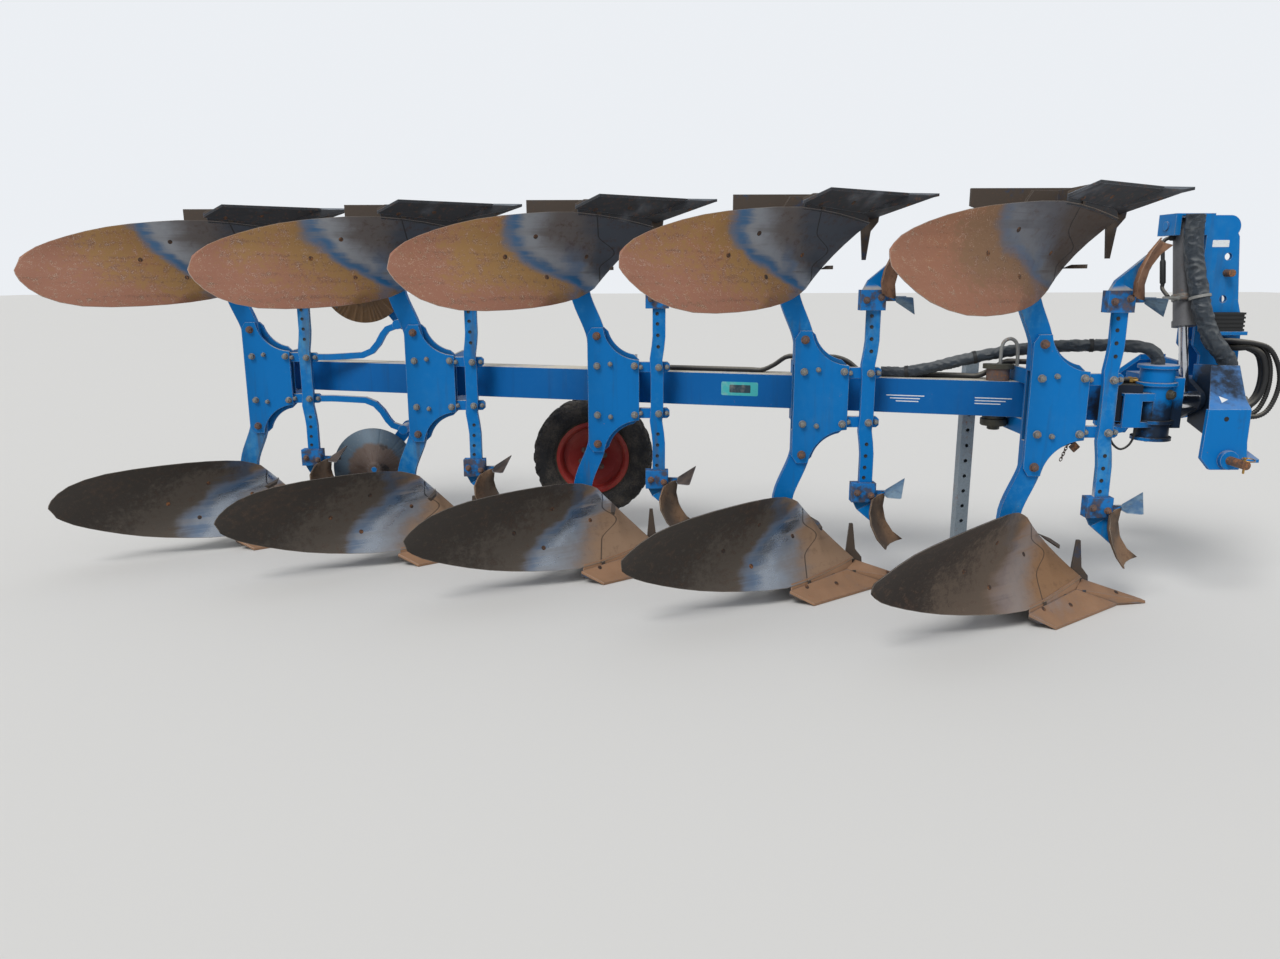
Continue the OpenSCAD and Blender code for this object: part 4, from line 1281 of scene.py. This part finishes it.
class PLOUGH_OT_hoses(bpy.types.Operator):
    """Hoses on the beam and the headstock, and the folded fabric sleeve."""

    bl_idname = "plough.hoses"
    bl_label = "Hoses"

    def execute(self, context):
        self.sleeve()
        self.beam_hoses()
        self.head_hoses()
        self.inner_hoses()
        self.bundle()
        return {"FINISHED"}

    def sleeve(self):
        """The sleeve beside the cylinder, wrinkled across where it bends."""
        path = [(724, 237.7, 806), (724, 237.7, 760), (727, 237.7, 690), (734, 222, 600), (746, 194, 500)]
        path += [(760, 173, 410), (788, 158, 320), (820, 152, 256), (862, HOSE_LINE, 214)]
        path += [(889, HOSE_LINE, 170), (900, HOSE_LINE, 122)]
        for turn in (0, 0.785, 1.169, 1.571):
            path.append((852.3 + 50 * math.cos(turn), HOSE_LINE, 80 - 50 * math.sin(turn)))
        path.append((842.3, HOSE_LINE, 30))
        piece = drawn_tube([at(*place) for place in path], sizes().sleeve, 40, 0.004, creased(0.0062, 3))
        dress(piece, "fabric_sleeve", "sleeve fabric", "headstock", 60)
        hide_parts("hose_sleeve")

    def beam_hoses(self):
        """Two hoses along the beam that rise over the leg brackets, and the cable under the drum."""
        spacing = SPACING.length * 1000
        start, end, steps, climb = -1840, 400, 38, 70
        tubes = []
        for across in (10, 40):
            path = []
            for i in range(steps + 1):
                along = start + (end - start) * i / steps
                gap = min(abs(along), abs(along + spacing))
                n = max(0, min(1, 1.9 - gap / 130))
                path.append(on_beam(along, across, HOSE_REST + climb * n * n * (3 - 2 * n)))
            tubes.append(drawn_tube(path, sizes().hose, 14, 0.02))
        cable = [(373, 100, -80.3), (373, 95, -130), (386, 85, -178), (418, 75, -205)]
        cable += [(450, 68, -188), (466, 62, -150), (468, 60, -105.3)]
        tubes.append(drawn_tube([at(*place) for place in cable], 0.005, 10, 0.01))
        piece = dress(joined(*tubes), "beam_hoses_drawn", "hose rubber", "frame", 60)
        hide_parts("beam_hoses")
        union = hose_union((0.0135, 0.014), (0.0115, 0.034), (0.008, 0.036))
        forward = on_beam(1, 0, 0) - on_beam(0, 0, 0)
        moves = [facing(on_beam(388, across, HOSE_REST), forward) for across in (10, 40)]
        dress(copies(union, moves), "beam_hose_unions", "brass", "frame", 40)

    def head_hoses(self):
        """Three hoses that loop from the block down to the front web, ribbed by their spiral guard."""

        def ribs(way, turn):
            return 0.0012 * math.sin(way * 620) if way > 0.22 else 0.0

        loop = [(0, HOSE_START, 260), (0, 240, 260), (26, 198, 260), (74, 165, 254), (122, HOSE_LINE, 232)]
        loop += [(158, HOSE_LINE, 170), (170, HOSE_LINE, 95), (162, HOSE_LINE, 20)]
        loop += [(134, HOSE_LINE, -42), (90, HOSE_LINE, -68)]
        tubes = []
        for i in (-1, 0, 1):
            path = []
            for j, (x, y, z) in enumerate(loop):
                fan = 9 * i * (3 - min(max(j, 1), 6))
                path.append(at(918 + fan + x, y + (HOSE_PITCH * i if j > 1 else 0), z))
            path.append(at(WEB_FACE, HOSE_LINE + HOSE_PITCH * i, -68))
            tubes.append(drawn_tube(path, sizes().hose - 0.0008, 14, 0.0034, ribs))
        piece = dress(joined(*tubes), "head_hoses_drawn", "hose rubber", "headstock", 60)
        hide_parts("head_hoses")

    def inner_hoses(self):
        """Two more hoses inside the loops of the first three, with the unions where they end on the web."""
        loop = [(930, HOSE_START, 240), (932, 246, 240), (950, 205, 240), (988, 172, 232)]
        loop += [(1026, HOSE_LINE, 206), (1050, HOSE_LINE, 150), (1056, HOSE_LINE, 90)]
        loop += [(1046, HOSE_LINE, 32), (1024, HOSE_LINE, -6), (994, HOSE_LINE, -26)]
        tubes, moves = [], []
        for i in (-0.5, 0.5):
            path = []
            for j, (x, y, z) in enumerate(loop):
                pitch = HOSE_PITCH if j > 1 else 8
                path.append(at(x, y + pitch * i, z + (22 * i if j < 3 else 0)))
            path.append(at(WEB_FACE, HOSE_LINE + HOSE_PITCH * i, -28))
            tubes.append(drawn_tube(path, sizes().hose + 0.002, 16, 0.008))
            moves.append(facing(path[-1], (1, 0, 0)))
        dress(joined(*tubes), "inner_hoses", "hose rubber", "headstock", 60)
        union = hose_union((0.015, 0.012), (0.0125, 0.030), (0.011, 0.033))
        dress(copies(union, moves), "hose_unions", "bolt steel", "headstock", 40)

    def bundle(self):
        """The hoses that cross from the beam to the drum in one loose sleeve, strapped in three places."""
        path = [(-560, 446, 98), (-450, 404, 104), (-322, 358, 136), (-163, 330, 178), (-22, 300, 208)]
        path += [(150, 256, 232), (312, 212, 240), (430, 172, 242), (520, 140, 232), (560, 120, 200)]
        path += [(566, 108, 146)]
        places = [at(*place) for place in path]
        tube = drawn_tube(places, 0.029, 32, 0.005, creased(0.0050, 11))
        dress(tube, "hose_bundle", "sleeve fabric", "frame", 60)
        straps = []
        for i in (1, 3, 6):
            way = (places[i + 1] - places[i - 1]).normalized()
            straps.append(moved(band(0.0245, 0.0295, 0.008, 28), facing(places[i], way)))
        dress(joined(*straps), "bundle_straps", "black plastic", "frame", 40)


class PLOUGH_OT_fittings(bpy.types.Operator):
    """Drum nuts, linch pins, chain and tag, the hoop, the pivot's caps and the cylinder's clamp."""

    bl_idname = "plough.fittings"
    bl_label = "Small Fittings"

    def execute(self, context):
        self.drum()
        self.linch_pins()
        self.chain()
        self.hoop()
        self.pivots()
        self.clamp()
        return {"FINISHED"}

    def drum(self):
        """The greased nut on the drum's side, the stub under it and the plug in the near cheek."""
        outward = Vector((0.40, -0.917, 0))
        nut = facing(at(563.4, 105.3, 40) + outward * 0.069, outward, 0.2)
        nuts = copies(hexagon(0.034, 0.020, 0.023), [nut, facing(at(545, 103, -150), DOWN)])
        dress(nuts, "drum_nuts", "greased iron", "frame")
        plug = turned([(0.010, 0), (0.010, 0.001), (0.008, 0.0015), (0.007, 0.0004)], 18)
        hole = facing(at(742, SHOULDER_FACE, -40), NEAR)
        dress(moved(plug, hole), "cheek_plug", "black plastic", "headstock")
        card = turned([(0.021, 0), (0.021, 0.0008)], 3)
        slope = facing(at(742, -91, 36), (0, -0.656, 0.755), 0.5)
        dress(moved(card, slope), "shoulder_label", "white label", "headstock")

    def linch_pins(self):
        """A linch pin with its drop ring near the outer end of each lower link pin."""
        profile = [(0.003, -0.036), (0.0045, -0.033), (0.0045, 0.024), (0.008, 0.026), (0.008, 0.032)]
        pins = []
        for y in (-250, 950):
            pins.append(moved(turned(profile, 14), Matrix.Translation(at(765, y, -212))))
            ring = ring_of(0.024, 0.0022)
            out = -1 if y < 0 else 1
            pins.append(moved(ring, facing(at(765, y + 22 * out, -186), (0, 0.15 * out, 1))))
        dress(joined(*pins), "linch_pins", "brass", "headstock", 50)

    def chain(self):
        """A short chain and a diamond tag that hang from the lower flange of the first bracket."""
        pieces = []
        start, end = at(160, -5, -140), at(126, -5, -234)
        for i in range(9):
            link = ring_of(0.0058, 0.0016)
            for vertex in link.data.vertices:
                vertex.co.x *= 1.5
            way = (end - start).normalized()
            spin = facing((0, 0, 0), way) @ Matrix.Rotation(math.pi / 2 * (i % 2), 4, "Z")
            lying = Matrix.Rotation(math.pi / 2, 4, "Y")
            pieces.append(moved(link, Matrix.Translation(start.lerp(end, i / 8)) @ spin @ lying))
        pieces.append(moved(ring_of(0.010, 0.0018), facing(at(179, -5, -146), (1, 0, 0))))
        tag = rounded_plate(0.036, 0.036, 0.003, 0.004)
        upright = Matrix.Rotation(math.pi / 2, 4, "X") @ Matrix.Rotation(math.pi / 4, 4, "Z")
        pieces.append(moved(tag, Matrix.Translation(at(179, -3.5, -180)) @ upright))
        dress(joined(*pieces), "chain_and_tag", "plough bolt", "frame", 50)

    def hoop(self):
        """The bent rod that stands on the pivot's cover and on the bracket's arm."""
        path = [(-73, 250, 150), (-73, 250, 190), (-72, 250, 226), (-62, 250, 256), (-36, 250, 268)]
        path += [(-12, 250, 256), (0, 250, 226), (3, 250, 190), (3, 250, 144)]
        hoop = drawn_tube([at(*place) for place in path], 0.008, 14, 0.006)
        dress(hoop, "beam_hoop", "bent rod", "frame", 50)

    def pivots(self):
        """The pivot of the front body: a cap with its boss under the beam, a collar and a cover on top."""
        pivot, across = -162, -42
        profile = [(0.052, 0), (0.052, 0.018), (0.060, 0.020), (0.060, 0.046), (0.056, 0.051), (0.028, 0.051)]
        cap = turned(profile, 36)
        boss = turned([(0.028, 0.050), (0.028, 0.068), (0.024, 0.071)], 24)
        low = moved(joined(cap, boss), facing(on_beam(pivot, 0, -BEAM_HALF), DOWN))
        along_beam = Matrix.Rotation(-BEAM_TURN, 4, "Z")
        cover = rounded_plate(0.135, 0.074, 0.020, 0.034)
        cover = moved(cover, Matrix.Translation(on_beam(pivot, across, 134)) @ along_beam)
        dress(joined(low, cover), "pivot_caps", "greased iron", "frame", 40)
        collar = rounded_plate(0.100, 0.062, 0.054, 0.028)
        collar = moved(collar, Matrix.Translation(on_beam(pivot, across, BEAM_HALF)) @ along_beam)
        dress(collar, "pivot_collar", "rusty bolt", "frame", 40)

    def clamp(self):
        """The clamp round the barrel with its long level pin, and the slim hose that comes down to it."""
        axis = Vector((0, math.sin(CYLINDER_LEAN), math.cos(CYLINDER_LEAN)))
        pin_eye = at(740, SHAFT_LINE, 760)
        middle = pin_eye - axis * 0.320
        pieces = [moved(band(0.0445, 0.050, 0.014, 40), facing(middle, axis))]
        front = middle - Vector((0, 0.052, 0))
        rod = turned([(0.0065, -0.076), (0.0075, -0.072), (0.0075, 0.070), (0.0065, 0.074)], 16)
        pieces.append(moved(rod, facing(front - Vector((0.046, 0, 0)), (1, 0, 0))))
        for side in (-1, 1):
            end = facing(front + Vector((0.052 * side, 0, 0)), (side, 0, 0))
            pieces.append(moved(hexagon(0.017, 0.010, 0.012), end))
        dress(joined(*pieces), "barrel_clamp", "bolt steel", "barrel", 40)
        port = pin_eye - axis * 0.052
        side = Vector((1, 0, 0))
        drop = [(0.040, 0), (0.070, 0.002), (0.090, 0.014)]
        drop += [(0.095, down) for down in (0.040, 0.100, 0.160, 0.205)]
        path = [port - side * out - axis * down for out, down in drop]
        path += [middle - side * 0.097 + axis * 0.040, front - side * 0.100 + axis * 0.006]
        dress(drawn_tube(path, 0.0085, 14, 0.01), "barrel_hose", "hose rubber", "barrel", 60)
        sheath = turned([(0.0105, 0), (0.0125, 0.004), (0.0125, 0.096), (0.0105, 0.104)], 16)
        top = turned([(0.013, 0), (0.013, 0.022), (0.010, 0.026)], 6)
        unions = [moved(sheath, facing(path[6], axis))]
        unions.append(moved(top, facing(path[0], (-1, 0, 0))))
        dress(joined(*unions), "barrel_unions", "black plastic", "barrel", 40)
        way = (at(746, 194, 500) - at(760, 173, 410)).normalized()
        ring = moved(band(0.0405, 0.0445, 0.006, 36), facing(at(753, 183, 452), way))
        dress(ring, "sleeve_band", "bent rod", "headstock", 40)


class PLOUGH_OT_marks(bpy.types.Operator):
    """Stripes and blank labels."""

    bl_idname = "plough.marks"
    bl_label = "Stripes and Labels"

    def execute(self, context):
        near = off_beam(-1)
        stripes = [(-646, -475, 1), (-629, -494, -12), (-602, -500, -25)]
        stripes += [(-255, -96, 2), (-255, -122, -11), (-255, -143, -24)]
        strips = []
        for start, end, up in stripes:
            place = on_beam((start + end) / 2, -BEAM_HALF, up)
            strips.append(self.card(((end - start) / 1000, 0.0045, 0.0006, 0.002), place, near))
        dress(joined(*strips), "beam_stripes", "white label", "frame")
        strip = self.card((0.182, 0.067, 0.0006, 0.008), on_beam(-1342, -BEAM_HALF, 6), near)
        dress(strip, "turquoise_strip", "turquoise label", "frame")
        strip = self.card((0.104, 0.038, 0.0006, 0.004), on_beam(-1340, -BEAM_HALF - 0.6, 6), near)
        dress(strip, "dark_strip", "dark label", "frame")
        card = self.card((0.074, 0.030, 0.0008, 0.003), at(873, TOWER_FACES[0], 682), NEAR)
        dress(card, "tower_label", "white label", "headstock")
        return {"FINISHED"}

    def card(self, size, place, direction):
        """A thin rounded plate, laid flat on an upright surface with its width level."""
        across = UP.cross(direction).normalized()
        turn = Matrix((across, UP, direction)).transposed().to_4x4()
        return moved(rounded_plate(*size), Matrix.Translation(place) @ turn)


class PLOUGH_OT_welds(bpy.types.Operator):
    """Weld beads in the corners of the fabricated parts."""

    bl_idname = "plough.welds"
    bl_label = "Welds"

    def execute(self, context):
        for body in BODIES:
            runs = []
            for side in (1, -1):
                for z in (BEAM_HALF, 146):
                    start = at(0, BACK_CHEEK_FACE, z * side, body)
                    runs.append(bead(start, at(190, BACK_CHEEK_FACE, z * side, body)))
            dress(joined(*runs), f"arm_welds_{body}", "leg paint", "frame", 60)
        runs = [bead(at(806, y, 45), at(1020, y, 45)) for y in TOWER_FACES]
        runs += [bead(at(822, y, z), at(842, y, z)) for y in (-112, 812) for z in (-60, -200)]
        dress(joined(*runs), "headstock_welds", "hitch paint", "headstock", 60)
        return {"FINISHED"}


class PLOUGH_PT_panel(bpy.types.Panel):
    """The plough's pieces, sizes and colours."""

    bl_label = "Plough"
    bl_idname = "PLOUGH_PT_panel"
    bl_space_type = "VIEW_3D"
    bl_region_type = "UI"
    bl_category = "Plough"

    def draw(self, context):
        for operator in OPERATORS:
            self.layout.operator(operator.bl_idname)
        for group in (context.scene.plough_sizes, context.scene.plough_colours):
            box = self.layout.box()
            for name in group.__annotations__:
                box.prop(group, name)


OPERATORS = (
    PLOUGH_OT_stage,
    PLOUGH_OT_paint,
    PLOUGH_OT_boards,
    PLOUGH_OT_bolts,
    PLOUGH_OT_wheel,
    PLOUGH_OT_hoses,
    PLOUGH_OT_fittings,
    PLOUGH_OT_marks,
    PLOUGH_OT_welds,
)
CLASSES = (PloughColours, PloughSizes, *OPERATORS, PLOUGH_PT_panel)


def register():
    for cls in CLASSES:
        bpy.utils.register_class(cls)
    bpy.types.Scene.plough_colours = PointerProperty(type=PloughColours)
    bpy.types.Scene.plough_sizes = PointerProperty(type=PloughSizes)


def unregister():
    del bpy.types.Scene.plough_sizes
    del bpy.types.Scene.plough_colours
    for cls in reversed(CLASSES):
        bpy.utils.unregister_class(cls)


def main():
    """Makes every piece in order."""
    register()
    for operator in OPERATORS:
        group, name = operator.bl_idname.split(".")
        getattr(getattr(bpy.ops, group), name)()


if __name__ == "__main__":
    main()
